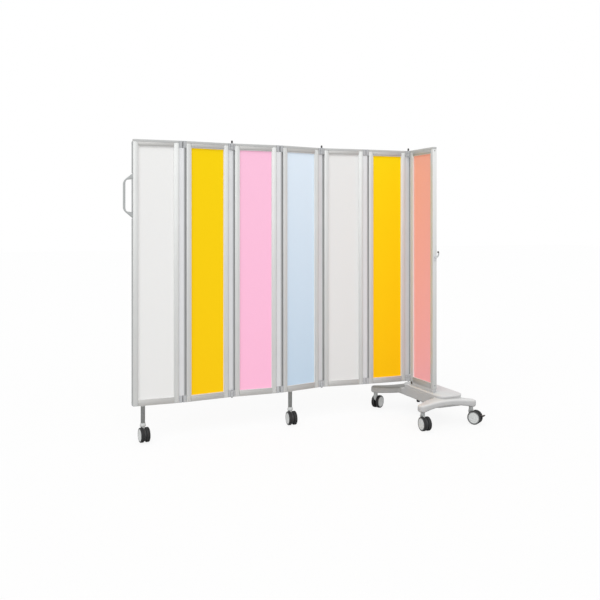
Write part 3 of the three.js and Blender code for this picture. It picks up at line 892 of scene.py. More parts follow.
def handle_bow():
    """The bow through sections that run up one leg, along the grip and down the other leg."""
    outer = -HANDLE_DEPTH
    inner = outer + HANDLE_BAR
    half = HANDLE_SPAN / 2
    root = half - HANDLE_LEG
    leg_end = (outer * LEG_END_SHARES[0], half * LEG_END_SHARES[1])
    shoulder = (outer * SHOULDER_SHARES[0], half * SHOULDER_SHARES[1])
    straight = HANDLE_GRIP / 2 * GRIP_SHARE
    knee = (inner * KNEE_SHARES[0], root * KNEE_SHARES[1])
    outside = [(-FIT, half), leg_end, *bend(leg_end, shoulder, (outer, straight))]
    inside = [(-FIT, root), knee, *bend(knee, (inner, knee[1]), (inner, straight))]
    upper = list(zip(inside, outside))
    lower = [[(x, -z) for x, z in pair] for pair in reversed(upper)]
    bow = skinned([handle_ring(*pair) for pair in (*upper, *lower)])
    return moved(bow, 0, LEAF_THICKNESS / 2, handle_height)


# Moulded nylon that hands have rubbed a little smoother than the caps.
handle_nylon = fine_grained("grey_nylon_handle", HANDLE_GREY, HANDLE_GREY_PALE, 0.46)
handle_mesh = finished("handle", handle_bow(), handle_nylon, 50)
fitted("pull_handle_bow", handle_mesh, places[1], "leaf_1", "hinge_grey", "pull_handle")


# Castor posts
# Plated steel tubes that plug into the bottom rails of the first and fourth leaves, each with a
# thin grey ring under the rail and a pressed groove above the castor.

POST_INSET = 55
POST_RADIUS = 11.8
POST_SIDES = 56
POST_RIM = 0.8
POST_GROOVE_ABOVE = 9
POST_GROOVE_DEPTH = 0.7
POST_GROOVE_FLOOR = 1.3
POST_TENON_RADIUS = 9
POST_TENON_HEIGHT = 20
COLLAR_RADIUS = 13.3
COLLAR_HEIGHT = 3.4
POST_STEEL = "#979998"
POST_STEEL_DULL = "#858786"
CASTOR_HEIGHT = 100


def post_tube():
    """A tube with a groove near its lower end and a tenon that goes up into the rail."""
    low, high = CASTOR_HEIGHT + FIT, leaf_low - FIT
    groove, slope = low + POST_GROOVE_ABOVE, POST_GROOVE_DEPTH
    floor_end = groove + slope + POST_GROOVE_FLOOR
    r, inner, top = POST_RADIUS, POST_RADIUS - slope, high + POST_TENON_HEIGHT
    return lathed([
        (0, low), (r - POST_RIM, low), (r, low + POST_RIM), (r, groove), (inner, groove + slope),
        (inner, floor_end), (r, floor_end + slope), (r, high), (POST_TENON_RADIUS, high),
        (POST_TENON_RADIUS, top), (0, top),
    ], POST_SIDES)


def post_collar():
    """The nylon ring that seals the tube against the rail."""
    low, high, r = leaf_low - COLLAR_HEIGHT, leaf_low - FIT, COLLAR_RADIUS
    return lathed([
        (0, low), (r - 0.7, low), (r, low + 0.9), (r, high - 0.7), (r - 0.5, high), (0, high),
    ], POST_SIDES)


# Zinc plating, a grey satin metal with soft streaks of light down the tube.
post_plating = plated_steel("zinc_plated_post", POST_STEEL, POST_STEEL_DULL)
post_mesh = finished("post", post_tube(), post_plating)
collar_mesh = finished("collar", post_collar(), cap_nylon)
for number in (1, 4):
    here = places[number] @ Matrix.Translation((POST_INSET * MM, LEAF_THICKNESS / 2 * MM, 0))
    leaf = f"leaf_{number}"
    fitted(f"{leaf}_castor_post", post_mesh, here, leaf, "steel_tube", f"{leaf}_post")
    fitted(f"{leaf}_post_collar", collar_mesh, here, leaf, "hinge_grey")


# Base moulding
# One light grey structural moulding: a flat-sided spine between two cross arms that swell from
# round tips over the castors, all blended with soft fillets and finished with a fine grain.

ARM_TIP_RADIUS = 29
ARM_TIP_HEIGHT = 45
ARM_ROOT_HALF_WIDTH = 49
ARM_ROOT_OFFSET = 35
ARMS = ({"side": -1, "arch": 19, "rise": 13}, {"side": 1, "arch": 0, "rise": -4})
ARM_SECTIONS = 56
ARM_SECTION_POINTS = 64
# Keeps the sections at the ends of an arm from closing to a point.
ARM_END_SHARE = 0.9995
SQUARENESS = 0.5
SPINE_UNDERSIDE = 101
SPINE_EDGE = 4
KEEL_CORNER = 12
LOW_PART_CORNER = 10
LOW_PART_EDGE = 6
LOW_PART_OVERLAP = 60
LOW_PART_DROP = 6
DECK_OVERHANG = 1.5
DECK_END_OVERHANG = 9
DECK_CORNER = 52
BASE_VOXEL = 3.2
BASE_SMOOTHING_ROUNDS = 7
# Painted light: the sides take the darker grey and the tops the paler one, as light falls from
# above.
BASE_SHADED_SIDE_GREY = "#b9b9b9"
BASE_LIT_TOP_GREY = "#dededd"
# Painted shadow behind the deck: the rear arm greyer, darkest on its top under the leaves.
REAR_ARM_SHADED_SIDE = "#b0b0af"
REAR_ARM_SHADOWED_TOP = "#858584"
# The grain of the mould is about 0.5 mm across, drawn coarser so that it shows.
SIDE_GRAIN = 2.5
SIDE_GRAIN_DEPTH = 0.15
SIDE_GRAIN_STRENGTH = 0.15
SIDE_ROUGHNESS = 0.6
TOP_ROUGHNESS = 0.42
BASE_CLOUD = 111.1
BASE_CLOUD_SHARE = 0.12
BASE_IOR = 1.5
# How far a face's normal points up where the painted light begins to pale it and pales it fully.
UPWARDS = (0.1, 0.95)
# Where the painted shadow on the rear arm begins and is full, behind the deck's rear edge.
REAR_SHADOW_SPAN = (-10, 25)

CASTORS = ("far_left", "near_left", "near_right", "far_right", "leaf_1", "leaf_4")
stems = {name: Vector(joint_named[f"{name}_swivel"]["pos_m"]) / MM for name in CASTORS}
base_middle = (stems["near_left"] + stems["far_right"]) / 2
track = stems["far_right"].x - stems["far_left"].x
wheelbase = stems["far_left"].y - stems["near_left"].y
deck_low, deck_high = (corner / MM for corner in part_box("base_deck"))


def grained_moulding_painted_light(name, side, top):
    """Structural foam: pale tops and grey sides as painted light, and painted shadow behind the
    deck.
    """
    material = new_finish(name)
    place = add(material, "TexCoord", {}).outputs["Object"]
    form = add(material, "NewGeometry", {})
    normal = add(material, "SeparateXYZ", {"Vector": form.outputs["Normal"]})
    low, high = UPWARDS
    facing = add(
        material, "MapRange", {"Value": normal.outputs[2], "From Min": low, "From Max": high}
    )
    grain = add(
        material, "TexNoise", {"Vector": place, "Scale": 1 / (SIDE_GRAIN * MM), "Detail": 3}
    )
    cloud = add(
        material, "TexNoise", {"Vector": place, "Scale": 1 / (BASE_CLOUD * MM), "Detail": 3}
    )
    uneven = add(
        material, "Math", {0: cloud.outputs[0], 1: BASE_CLOUD_SHARE, 2: facing.outputs[0]},
        operation="MULTIPLY_ADD",
    )
    # Painted light: pale where a face looks up, grey where it looks sideways.
    front_painted_light = add(
        material, "Mix", {0: uneven.outputs[0], 6: linear(side), 7: linear(top)},
        data_type="RGBA",
    )
    # Painted shadow on the rear arm, darkest on its top under the leaves.
    rear_painted_shadow = add(
        material, "Mix",
        {0: facing.outputs[0], 6: linear(REAR_ARM_SHADED_SIDE), 7: linear(REAR_ARM_SHADOWED_TOP)},
        data_type="RGBA",
    )
    depth = add(material, "SeparateXYZ", {"Vector": place})
    start, full = ((deck_high.y + reach) * MM for reach in REAR_SHADOW_SPAN)
    behind = add(
        material, "MapRange", {"Value": depth.outputs[1], "From Min": start, "From Max": full}
    )
    shade = add(
        material, "Mix",
        {0: behind.outputs[0], 6: front_painted_light.outputs[2], 7: rear_painted_shadow.outputs[2]},
        data_type="RGBA",
    )
    gloss = add(
        material, "MapRange",
        {"Value": facing.outputs[0], "To Min": SIDE_ROUGHNESS, "To Max": TOP_ROUGHNESS},
    )
    bump = add(
        material, "Bump",
        {
            "Height": grain.outputs[0], "Strength": SIDE_GRAIN_STRENGTH,
            "Distance": SIDE_GRAIN_DEPTH * MM,
        },
    )
    plastic = add(
        material, "BsdfPrincipled",
        {
            "Base Color": shade.outputs[2], "Roughness": gloss.outputs[0], "IOR": BASE_IOR,
            "Normal": bump.outputs[0],
        },
    )
    add(material, "OutputMaterial", {"Surface": plastic.outputs[0]})
    return material


def squared(value):
    """A sine or cosine drawn towards 1 or -1, which squares up a circle."""
    return math.copysign(abs(value) ** SQUARENESS, value)


def cross_arm(side, arch, rise):
    """An arm lofted across x through rounded oblong sections."""
    tip = track / 2
    reach = tip + ARM_TIP_RADIUS
    rings = []
    for i in range(ARM_SECTIONS + 1):
        x = -reach * math.cos(math.pi * i / ARM_SECTIONS) * ARM_END_SHARE
        swell = max(1 - (x / tip) ** 2, 0)
        round_off = math.sqrt(max(1 - (max(abs(x) - tip, 0) / ARM_TIP_RADIUS) ** 2, 0))
        trim = ARM_TIP_HEIGHT * (1 - round_off) / 4
        low = CASTOR_HEIGHT + FIT + arch * swell + trim
        high = CASTOR_HEIGHT + ARM_TIP_HEIGHT + rise * swell - trim
        half = ARM_TIP_RADIUS * round_off + (ARM_ROOT_HALF_WIDTH - ARM_TIP_RADIUS) * swell
        y, z = side * (wheelbase / 2 - ARM_ROOT_OFFSET * swell), (low + high) / 2
        ring = []
        for k in range(ARM_SECTION_POINTS):
            angle = 2 * math.pi * k / ARM_SECTION_POINTS
            across, up = squared(math.cos(angle)), squared(math.sin(angle))
            ring.append((x, y + half * across, z + (high - low) / 2 * up))
        rings.append(ring)
    return moved(skinned(rings), base_middle.x, base_middle.y)


def spine_blocks():
    """The spine: tall under the deck, open below the near arm and stepped down behind the deck."""
    left, right = deck_low.x + DECK_OVERHANG, deck_high.x - DECK_OVERHANG
    near, step = deck_low.y + DECK_END_OVERHANG, deck_high.y - DECK_END_OVERHANG
    near_arm = base_middle.y - wheelbase / 2 + ARM_ROOT_OFFSET
    far_arm = base_middle.y + wheelbase / 2 - ARM_ROOT_OFFSET
    low, tip_middle = SPINE_UNDERSIDE, CASTOR_HEIGHT + ARM_TIP_HEIGHT / 2
    tip_top, top = CASTOR_HEIGHT + ARM_TIP_HEIGHT, deck_low.z - FIT
    corner, edge = DECK_CORNER - DECK_END_OVERHANG, SPINE_EDGE
    start, low_top = step - LOW_PART_OVERLAP, tip_top - LOW_PART_DROP
    return (
        round_box(left, right, near, step, tip_middle, top, corner, edge, 12),
        round_box(left, right, near_arm, step, low, tip_top, KEEL_CORNER, edge, 6),
        round_box(left, right, start, far_arm, low, low_top, LOW_PART_CORNER, LOW_PART_EDGE, 6),
    )


def remeshed(solid, voxel, rounds):
    """One skin over overlapping solids, smoothed so that their meeting edges become fillets."""
    mesh = bpy.data.meshes.new("skin")
    solid.to_mesh(mesh)
    solid.free()
    scratch = bpy.data.objects.new("skin", mesh)
    bpy.context.scene.collection.objects.link(scratch)
    skin = scratch.modifiers.new("skin", "REMESH")
    skin.mode = "VOXEL"
    skin.voxel_size = voxel
    even = scratch.modifiers.new("even", "SMOOTH")
    even.factor = 0.5
    even.iterations = rounds
    result = evaluated(scratch)
    bpy.data.meshes.remove(mesh)
    return result


# Structural foam moulding, smooth on top and matt down its sides, pale on top and grey down its
# sides by painted light.
base_plastic = grained_moulding_painted_light("light_grey_base_moulding", BASE_SHADED_SIDE_GREY, BASE_LIT_TOP_GREY)
arms = [cross_arm(**arm) for arm in ARMS]
base_skin = remeshed(combined(*arms, *spine_blocks()), BASE_VOXEL, BASE_SMOOTHING_ROUNDS)
base_mesh = finished("base", base_skin, base_plastic, 80)
fitted("base_moulding", base_mesh, Matrix.Identity(4), "base", "base_moulding", "base_body")


# Deck
# A smooth light grey plate with round corners and a full round edge, which lies on the spine. The
# last leaf stands on it.

DECK_EDGE = 5.6
DECK_LOWER_EDGE = 1.2
# Painted light: the darker grey on the plate's edges, the paler one on its top.
DECK_SHADED_SIDE_GREY = "#c6c6c6"
DECK_LIT_TOP_GREY = "#dadad9"


def deck_plate():
    """The plate, its upper edge fully round and its lower one softened."""
    outline = round_outline(deck_low.x, deck_high.x, deck_low.y, deck_high.y, DECK_CORNER, 16)
    plate = prism(outline, deck_low.z, deck_high.z)
    for level, width, steps in ((deck_high.z, DECK_EDGE, 6), (deck_low.z, DECK_LOWER_EDGE, 3)):
        rim = [e for e in plate.edges if all(abs(v.co.z - level) < WELD for v in e.verts)]
        bmesh.ops.bevel(plate, geom=rim, offset=width, segments=steps, profile=0.5, affect="EDGES")
    return plate


# The same moulding in a tone that sets the plate off from the arms, with the same painted light on
# its top and edges.
deck_plastic = grained_moulding_painted_light("light_grey_deck_moulding", DECK_SHADED_SIDE_GREY, DECK_LIT_TOP_GREY)
deck_mesh = finished("deck", deck_plate(), deck_plastic, 50)
fitted("deck_plate", deck_mesh, Matrix.Identity(4), "base", "deck_moulding", "base_deck")


# Mounting block and fixing cap
# A powder-coated steel block under the last leaf, fixed to the deck, and the dark nylon cap that
# covers its fixing screw.

MOUNT_CORNER = 2.5
MOUNT_EDGE = 1
MOUNT_GREY = "#b9babb"
MOUNT_GREY_PALE = "#c3c4c5"
CAP_DARK = "#453e3b"
CAP_DARK_PALE = "#574f4b"


def cap_cover(radius, depth):
    """A round cap with a sloped rim and a hollow in its face, along z from its seat."""
    hollow = depth * 0.6
    return lathed([
        (0, 0), (radius, 0), (radius, depth * 0.4), (radius - 1, depth * 0.8), (radius - 2, depth),
        (radius * 0.45, depth), (radius * 0.4, hollow), (0, hollow),
    ])


mount_low, mount_high = (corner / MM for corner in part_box("mount_plate"))
mount_sides = (side for pair in zip(mount_low, mount_high) for side in pair)
mount = round_box(*mount_sides, MOUNT_CORNER, MOUNT_EDGE)
# The hinge blocks' powder coat in a lighter grey.
mount_coat = fine_grained("grey_powder_coated_mount", MOUNT_GREY, MOUNT_GREY_PALE, **powder_coat)
mount_mesh = finished("mount", mount, mount_coat)
fitted("mounting_block", mount_mesh, Matrix.Identity(4), "base", "steel_tube", "mount_plate")

cap_low, cap_high = (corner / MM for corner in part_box("fixing_cap"))
cap_middle = (cap_low + cap_high) / 2
knob = cap_cover((cap_high.z - cap_low.z) / 2, cap_high.x - cap_low.x)
knob.transform(Matrix.Rotation(-math.pi / 2, 4, "Y"))
moved(knob, cap_high.x, cap_middle.y, cap_middle.z)
# Brownish black nylon, matt, so that it shows as a dark dot.
dark_nylon = fine_grained("dark_nylon", CAP_DARK, CAP_DARK_PALE)
knob_mesh = finished("knob", knob, dark_nylon)
fitted("fixing_cap_cover", knob_mesh, Matrix.Identity(4), "base", "dark_plastic", "fixing_cap")


# Castor housings
# A light grey bracket cast in zinc alloy holds the axle of each castor and carries its neck and its
# stem, which pushes into the base arm or the post. A black nylon hood fills the space behind it.

WHEEL_RADIUS = 40
WHEEL_WIDTH = 19
TRAIL = 25
HOUSING_HALF = 6
EYE_RADIUS = 10
CHEEK_HALF = 6.2
CHEEK_EDGE = 1.4
CHEEK_FRONT = ((-9, 57), (-13, 71))
# The flare at four heights: its front, its back, half its width and the height.
FLARE = ((-12.4, -10.2, 6, 60), (-13, -5.5, 9, 70), (-12.6, 2, 11.5, 77), (-11.5, 10, 12, 84))
FLARE_EDGE = 1.2
HOOD_RADIUS = 34
HOOD_HALF_ANGLE = 118
HOOD_EDGE = 1.6
SLOT_HALF = 3.7
# How far the pedal's slot reaches from its pivot, forwards, backwards, down and up.
SLOT_REACHES = (6, 30, 12, 8)
SLOT_CORNER = 3
SLOT_EDGE = 0.2
NECK_RADIUS = 13
NECK_LOW = 81
STEM_RADIUS = 6
STEM_HEIGHT = 23.6
LACQUER_DEPTH = 0.1
BRACKET_GREY = "#a7a9a8"
BRACKET_GREY_PALE = "#b5b7b6"
# Partly painted shade: the hood's black stands in for the shadow between the wheels.
HOOD_SHADE_BLACK = "#262627"
HOOD_SHADE_BLACK_PALE = "#333334"
BRAKED = ("near_right", "far_right")


def tapered(levels, edge):
    """A solid through level rectangles of x0, x1, half width and height, with softened edges."""
    rings = [[(x0, -y, z), (x1, -y, z), (x1, y, z), (x0, y, z)] for x0, x1, y, z in levels]
    return soften(skinned(rings), edge, 3, 20)


def castor_bracket():
    """The cheek from neck to axle, the flare in front of the wheels, the neck and the stem."""
    eye = arc(TRAIL, WHEEL_RADIUS, EYE_RADIUS, 60, -140, 20)
    low, high, r, stem = NECK_LOW, CASTOR_HEIGHT, NECK_RADIUS, STEM_RADIUS
    outline = [*eye, *CHEEK_FRONT, (-r, low + 4), (r, low + 4)]
    cheek = soften(prism(outline, -CHEEK_HALF, CHEEK_HALF), CHEEK_EDGE, 3, 50)
    cheek.transform(Matrix.Rotation(math.pi / 2, 4, "X"))
    top = high + STEM_HEIGHT
    neck = lathed([
        (0, low), (r - 1.5, low), (r, low + 1.5), (r, low + 8), (r - 1.2, low + 9),
        (r - 1.2, low + 10.2), (r - 0.3, low + 11), (r - 0.3, high - 2), (r - 1.6, high),
        (stem, high), (stem, top - 1.6), (stem - 1, top), (0, top),
    ], 48)
    return combined(cheek, tapered(FLARE, FLARE_EDGE), neck)


def castor_hood(pivot=None):
    """The hood between the wheels, slotted for the pedal on a castor with a brake."""
    rim = arc(TRAIL, WHEEL_RADIUS, HOOD_RADIUS, HOOD_HALF_ANGLE, -HOOD_HALF_ANGLE, 56)
    hood = prism([*rim, (TRAIL - EYE_RADIUS, WHEEL_RADIUS)], -HOUSING_HALF, HOUSING_HALF)
    soften(hood, HOOD_EDGE, 3, 50)
    if pivot:
        x, z = pivot
        ahead, behind, down, up = SLOT_REACHES
        sides = x - ahead, x + behind, z - down, z + up, -SLOT_HALF, SLOT_HALF
        hood = sculpted(hood, [], [round_box(*sides, SLOT_CORNER, SLOT_EDGE, 3)])
    hood.transform(Matrix.Rotation(math.pi / 2, 4, "X"))
    return hood


def castor_place(name):
    """Castor coordinates in the room: z from the floor, the stem at 0, wheels trailing to x."""
    stem = stems[name]
    wheel = Vector(joint_named[f"{name}_roll"]["pos_m"]) / MM - stem
    turn = Matrix.Rotation(math.atan2(wheel.y, wheel.x), 4, "Z")
    return Matrix.Translation((stem.x * MM, stem.y * MM, 0)) @ turn


castor_places = {name: castor_place(name) for name in CASTORS}
pedal_pivot = Vector(joint_named["near_right_brake"]["pos_m"])
pedal_pivot = castor_places["near_right"].inverted() @ pedal_pivot / MM
# Zinc alloy under light grey lacquer, which hides the metal's glint and leaves a satin gleam.
lacquer = {**powder_coat, "depth": LACQUER_DEPTH}
bracket_metal = fine_grained(
    "light_grey_lacquered_zinc", BRACKET_GREY, BRACKET_GREY_PALE, 0.42, **lacquer
)
# Black nylon with a fine grain, a shade glossier than the treads; its black is partly painted shade
# between the wheels.
hood_nylon = fine_grained("black_nylon_hood", HOOD_SHADE_BLACK, HOOD_SHADE_BLACK_PALE, 0.45)
bracket_mesh = finished("bracket", castor_bracket(), bracket_metal)
plain_hood = finished("hood", castor_hood(), hood_nylon)
slotted_hood = finished("slotted_hood", castor_hood((pedal_pivot.x, pedal_pivot.z)), hood_nylon)
for name, place in castor_places.items():
    body = f"{name}_castor"
    bracket, node = f"castor_{name}_bracket", f"castor_{name}_housing"
    fitted(bracket, bracket_mesh, place, body, "castor_housing", node)
    hood_mesh = slotted_hood if name in BRAKED else plain_hood
    fitted(f"castor_{name}_hood", hood_mesh, place, body, "castor_housing")


# Post ferrules
# A light grey nylon ferrule snapped over the neck of each castor that stands under a post, flared
# where it meets the bracket.

FERRULE_FOOT = 16.5
FERRULE_TOP = 13.8
FERRULE_GREY = "#c6c8c7"
FERRULE_GREY_PALE = "#d1d3d2"


def ferrule():
    low, high = NECK_LOW + 1, CASTOR_HEIGHT - FIT
    foot, top = FERRULE_FOOT, FERRULE_TOP
    return lathed([
        (0, low), (foot - 1, low), (foot, low + 1), (foot, low + 5), (top + 0.8, high - 5),
        (top, high - 4), (top, high - 0.8), (top - 0.8, high), (0, high),
    ], POST_SIDES)


# Pale moulded nylon, which stands out between the dark tube and the wheels.
ferrule_nylon = fine_grained("light_grey_nylon_ferrule", FERRULE_GREY, FERRULE_GREY_PALE, 0.45)
ferrule_mesh = finished("ferrule", ferrule(), ferrule_nylon)
for name in ("leaf_1", "leaf_4"):
    place, body = castor_places[name], f"{name}_castor"
    fitted(f"castor_{name}_ferrule", ferrule_mesh, place, body, "castor_housing")


# Castor wheels
# Twin wheels with soft black treads moulded on grey nylon rims. Light grey covers with a raised
# ring and a centre boss are snapped on their outer faces.

TREAD_EDGE = 5
TREAD_INNER_EDGE = 3
TREAD_GROOVE = 0.8
TREAD_GROOVE_SHARES = (0.4, 0.62)
TREAD_SIDES = 72
RIM_RADIUS = 37.4
HUB_RADIUS = 30.5
HUB_GREY = "#d0d2d1"
HUB_GREY_PALE = "#dadcdb"
RIM_GREY = "#7d7f7f"
RIM_GREY_PALE = "#8a8c8c"
TREAD_BLACK = "#151516"
TREAD_WORN = "#252526"
# The rubber's matt grain is about 0.1 mm, drawn coarser so that it shows.
TREAD_GRAIN = 1
TREAD_GRAIN_DEPTH = 0.1
TREAD_GRAIN_STRENGTH = 0.3
TREAD_ROUGHNESS = (0.5, 0.75)
TREAD_DUST = 16.67
WHEEL_GAP = 6.5
AXLE_RADIUS = 4.4

wheel_outer = WHEEL_GAP + WHEEL_WIDTH


def soft_tread(name):
    """Soft rubber: near black, dusty where it rolls, with a fine matt grain."""
    material = new_finish(name)
    place = add(material, "TexCoord", {}).outputs["Object"]
    dust = add(material, "TexNoise", {"Vector": place, "Scale": 1 / (TREAD_DUST * MM), "Detail": 4})
    grain = add(
        material, "TexNoise", {"Vector": place, "Scale": 1 / (TREAD_GRAIN * MM), "Detail": 2}
    )
    shade = add(
        material, "Mix", {0: dust.outputs[0], 6: linear(TREAD_BLACK), 7: linear(TREAD_WORN)},
        data_type="RGBA",
    )
    low, high = TREAD_ROUGHNESS
    gloss = add(material, "MapRange", {"Value": dust.outputs[0], "To Min": low, "To Max": high})
    bump = add(
        material, "Bump",
        {
            "Height": grain.outputs[0], "Strength": TREAD_GRAIN_STRENGTH,
            "Distance": TREAD_GRAIN_DEPTH * MM,
        },
    )
    rubber_skin = add(
        material, "BsdfPrincipled",
        {
            "Base Color": shade.outputs[2], "Roughness": gloss.outputs[0], "IOR": RUBBER_IOR,
            "Normal": bump.outputs[0],
        },
    )
    add(material, "OutputMaterial", {"Surface": rubber_skin.outputs[0]})
    return material


def tread():
    """One tread about the axle, along z from its inner face to its outer one."""
    inner, outer, radius = WHEEL_GAP, wheel_outer, WHEEL_RADIUS
    small, edge, floor = TREAD_INNER_EDGE, TREAD_EDGE, WHEEL_RADIUS - TREAD_GROOVE
    profile = [(0, inner), (radius - small, inner)]
    profile += arc(radius - small, inner + small, small, -90, 0, 4)
    for share in TREAD_GROOVE_SHARES:
        z = inner + WHEEL_WIDTH * share
        profile += [(radius, z - 0.7), (floor, z - 0.4), (floor, z + 0.4), (radius, z + 0.7)]
    profile += arc(radius - edge, outer - edge, edge, 0, 80, 7)
    profile += [(radius - edge, outer - 1.2), (0, outer - 1.2)]
    return lathed(profile, TREAD_SIDES)


def wheel_rim():
    """The grey ring round the cover, where the rim shows beside the tread."""
    outer, inside, r = wheel_outer, HUB_RADIUS + 0.5, RIM_RADIUS
    return lathed([
        (0, outer - 1.4), (r + 0.4, outer - 2), (r, outer - 0.9), (r - 1.2, outer - 0.3),
        (inside + 0.8, outer - 0.2), (inside, outer - 0.9), (0, outer - 0.9),
    ], TREAD_SIDES)


def hub_cover():
    """The outer cover of a wheel, a shallow dish with a ring and a boss."""
    outer, r = wheel_outer, HUB_RADIUS
    return lathed([
        (0, outer - 1.5), (r, outer - 1.5), (r, outer - 0.5), (r - 0.8, outer), (r - 2.6, outer),
        (r - 3.4, outer - 0.7), (r * 0.62, outer - 0.8), (r * 0.59, outer - 0.4),
        (r * 0.55, outer - 0.4), (r * 0.52, outer - 0.8), (r * 0.3, outer - 0.8),
        (r * 0.27, outer - 0.4), (r * 0.18, outer - 0.15), (0, outer),
    ], 64)


def both_sides(make):
    """A wheel's part and its mirror on the other side of the housing, on the axle."""
    near, far = make(), make()
    far.transform(Matrix.Rotation(math.pi, 4, "X"))
    pair = combined(near, far)
    pair.transform(Matrix.Rotation(math.pi / 2, 4, "X"))
    return moved(pair, TRAIL, 0, WHEEL_RADIUS)


# Black rubber, matt and a little dusty, which swallows the light round each wheel.
tread_rubber = soft_tread("black_soft_tread")
tread_mesh = finished("treads", both_sides(tread), tread_rubber)
# Moulded nylon: pale smooth covers on darker rims, a light disc in a grey ring.
hub_nylon = fine_grained("light_grey_nylon_hub_cover", HUB_GREY, HUB_GREY_PALE, 0.42)
rim_nylon = fine_grained("mid_grey_nylon_rim", RIM_GREY, RIM_GREY_PALE)
hub_mesh = finished("hubs", both_sides(hub_cover), hub_nylon)
rim_mesh = finished("rims", both_sides(wheel_rim), rim_nylon)
axle = both_sides(lambda: barrel(0, 0, 0, WHEEL_GAP, AXLE_RADIUS))
axle_mesh = finished("axle", axle, post_plating)
for name, place in castor_places.items():
    body, castor = f"{name}_wheels", f"castor_{name}"
    fitted(f"{castor}_treads", tread_mesh, place, body, "castor_tyre", f"{castor}_wheels")
    fitted(f"{castor}_rims", rim_mesh, place, body, "castor_tyre")
    fitted(f"{castor}_hubs", hub_mesh, place, body, "castor_housing")
    fitted(f"{castor}_axle", axle_mesh, place, body, "steel_tube")


# Brake pedals
# Dark nylon levers on the base's two right-hand castors, each with a ribbed plate for the foot.

PEDAL_REACH = 37
PEDAL_TREAD = 11
PEDAL_WIDTH = 34
PEDAL_THICKNESS = 5
PEDAL_TONGUE = 6.4
PEDAL_EYE = 5
PEDAL_EYE_EDGE = 0.5
PEDAL_ARM_CORNER = 1.5
PEDAL_ARM_EDGE = 0.6
PEDAL_PLATE_CORNER = 3.5
PEDAL_PLATE_EDGE = 1
RIB_PLACES = (2, 5, 8)
RIB_WIDTH = 1.2
RIB_INSET = 3
RIB_ROOT = 0.4
RIB_RISE = 0.6


def pedal_lever():
    """The lever from its eye, along x, with its ribbed plate at the end."""
    half, tongue, side = PEDAL_THICKNESS / 2, PEDAL_TONGUE / 2, PEDAL_WIDTH / 2
    start, end, rib = PEDAL_REACH - PEDAL_TREAD, PEDAL_REACH, side - RIB_INSET
    arm_sides = 0, end - 2, -tongue, tongue, -half, half
    arm = round_box(*arm_sides, PEDAL_ARM_CORNER, PEDAL_ARM_EDGE)
    plate_sides = start, end, -side, side, -half, half
    plate = round_box(*plate_sides, PEDAL_PLATE_CORNER, PEDAL_PLATE_EDGE)
    ribs = [
        round_box(x, x + RIB_WIDTH, -rib, rib, half - RIB_ROOT, half + RIB_RISE, 0.5, 0.2)
        for x in (start + place for place in RIB_PLACES)
    ]
    eye = barrel(0, 0, -tongue, tongue, PEDAL_EYE, PEDAL_EYE_EDGE)
    eye.transform(Matrix.Rotation(math.pi / 2, 4, "X"))
    return combined(arm, plate, eye, *ribs)


pedal_mesh = finished("pedal", pedal_lever(), dark_nylon)
for name in BRAKED:
    turn = castor_places[name].to_3x3().to_4x4()
    here = Matrix.Translation(joint_named[f"{name}_brake"]["pos_m"]) @ turn
    lever, node = f"castor_{name}_brake_lever", f"castor_{name}_pedal"
    fitted(lever, pedal_mesh, here, f"{name}_pedal", "dark_plastic", node)


# Free edges
# The free edge of the last leaf is closed with a flush white nylon strip, and that of the first
# leaf with a grey rubber bumper, notched round the handle. Cross-head screws hold both at the ends.

EDGE_STRIP_ROOT = 1
COVER_WIDTH = 26
COVER_PROUD = 0.25
COVER_CORNER = 0.2
COVER_WHITE = "#eaebea"
# Painted shade: the grey at the strip's foot stands in for light falling off towards the floor.
COVER_SHADED_GREY = "#c4c5c4"
BUMPER_WIDTH = 22
BUMPER_PROUD = 5
BUMPER_CORNER = 2
BUMPER_NOTCH = 1
# Partly painted shade: the bumper's grey stands in for the shaded edge of the first leaf.
BUMPER_EDGE_SHADE_GREY = "#a6a8a8"
BUMPER_EDGE_SHADE_GREY_PALE = "#b1b3b3"
SCREW_FROM_END = 22
SCREW_RADIUS = 3.4
SCREW_HEIGHT = 1.1


def screw_head(radius=SCREW_RADIUS, height=SCREW_HEIGHT):
    """A pan head with a cross recess, along z from its seat."""
    profile = [
        (0, 0), (radius, 0), (radius, height * 0.4), (radius * 0.75, height * 0.85),
        (radius * 0.3, height), (0, height),
    ]
    floor, above = height * 0.45, height * 2
    slots = [
        round_box(-radius * a, radius * a, -radius * b, radius * b, floor, above, 0.1, 0.02, 2)
        for a, b in ((0.55, 0.12), (0.12, 0.55))
    ]
    return sculpted(lathed(profile, 28), [], slots)


def facing_right(solid, x, y, z):
    """What was made along z, turned to stand out to the right of the leaf at a place."""
    solid.transform(Matrix.Rotation(math.pi / 2, 4, "Y"))
    return moved(solid, x, y, z)


def edge_strip(proud, width, corner, low, high):
    """A flat strip on the right edge of a leaf between two heights."""
    x0, x1 = LEAF_WIDTH - EDGE_STRIP_ROOT, LEAF_WIDTH + proud
    y0, y1 = (LEAF_THICKNESS - width) / 2, (LEAF_THICKNESS + width) / 2
    return round_box(x0, x1, y0, y1, low, high, corner, corner / 2, 4)


def edge_screws(seat):
    x, y = LEAF_WIDTH + seat, LEAF_THICKNESS / 2
    heights = (leaf_low + SCREW_FROM_END, leaf_high - SCREW_FROM_END)
    return combined(*[facing_right(screw_head(), x, y, z) for z in heights])


edge_low, edge_high = leaf_low + FOOT_HEIGHT + JOINT_GAP, leaf_high - CAP_HEIGHT - JOINT_GAP
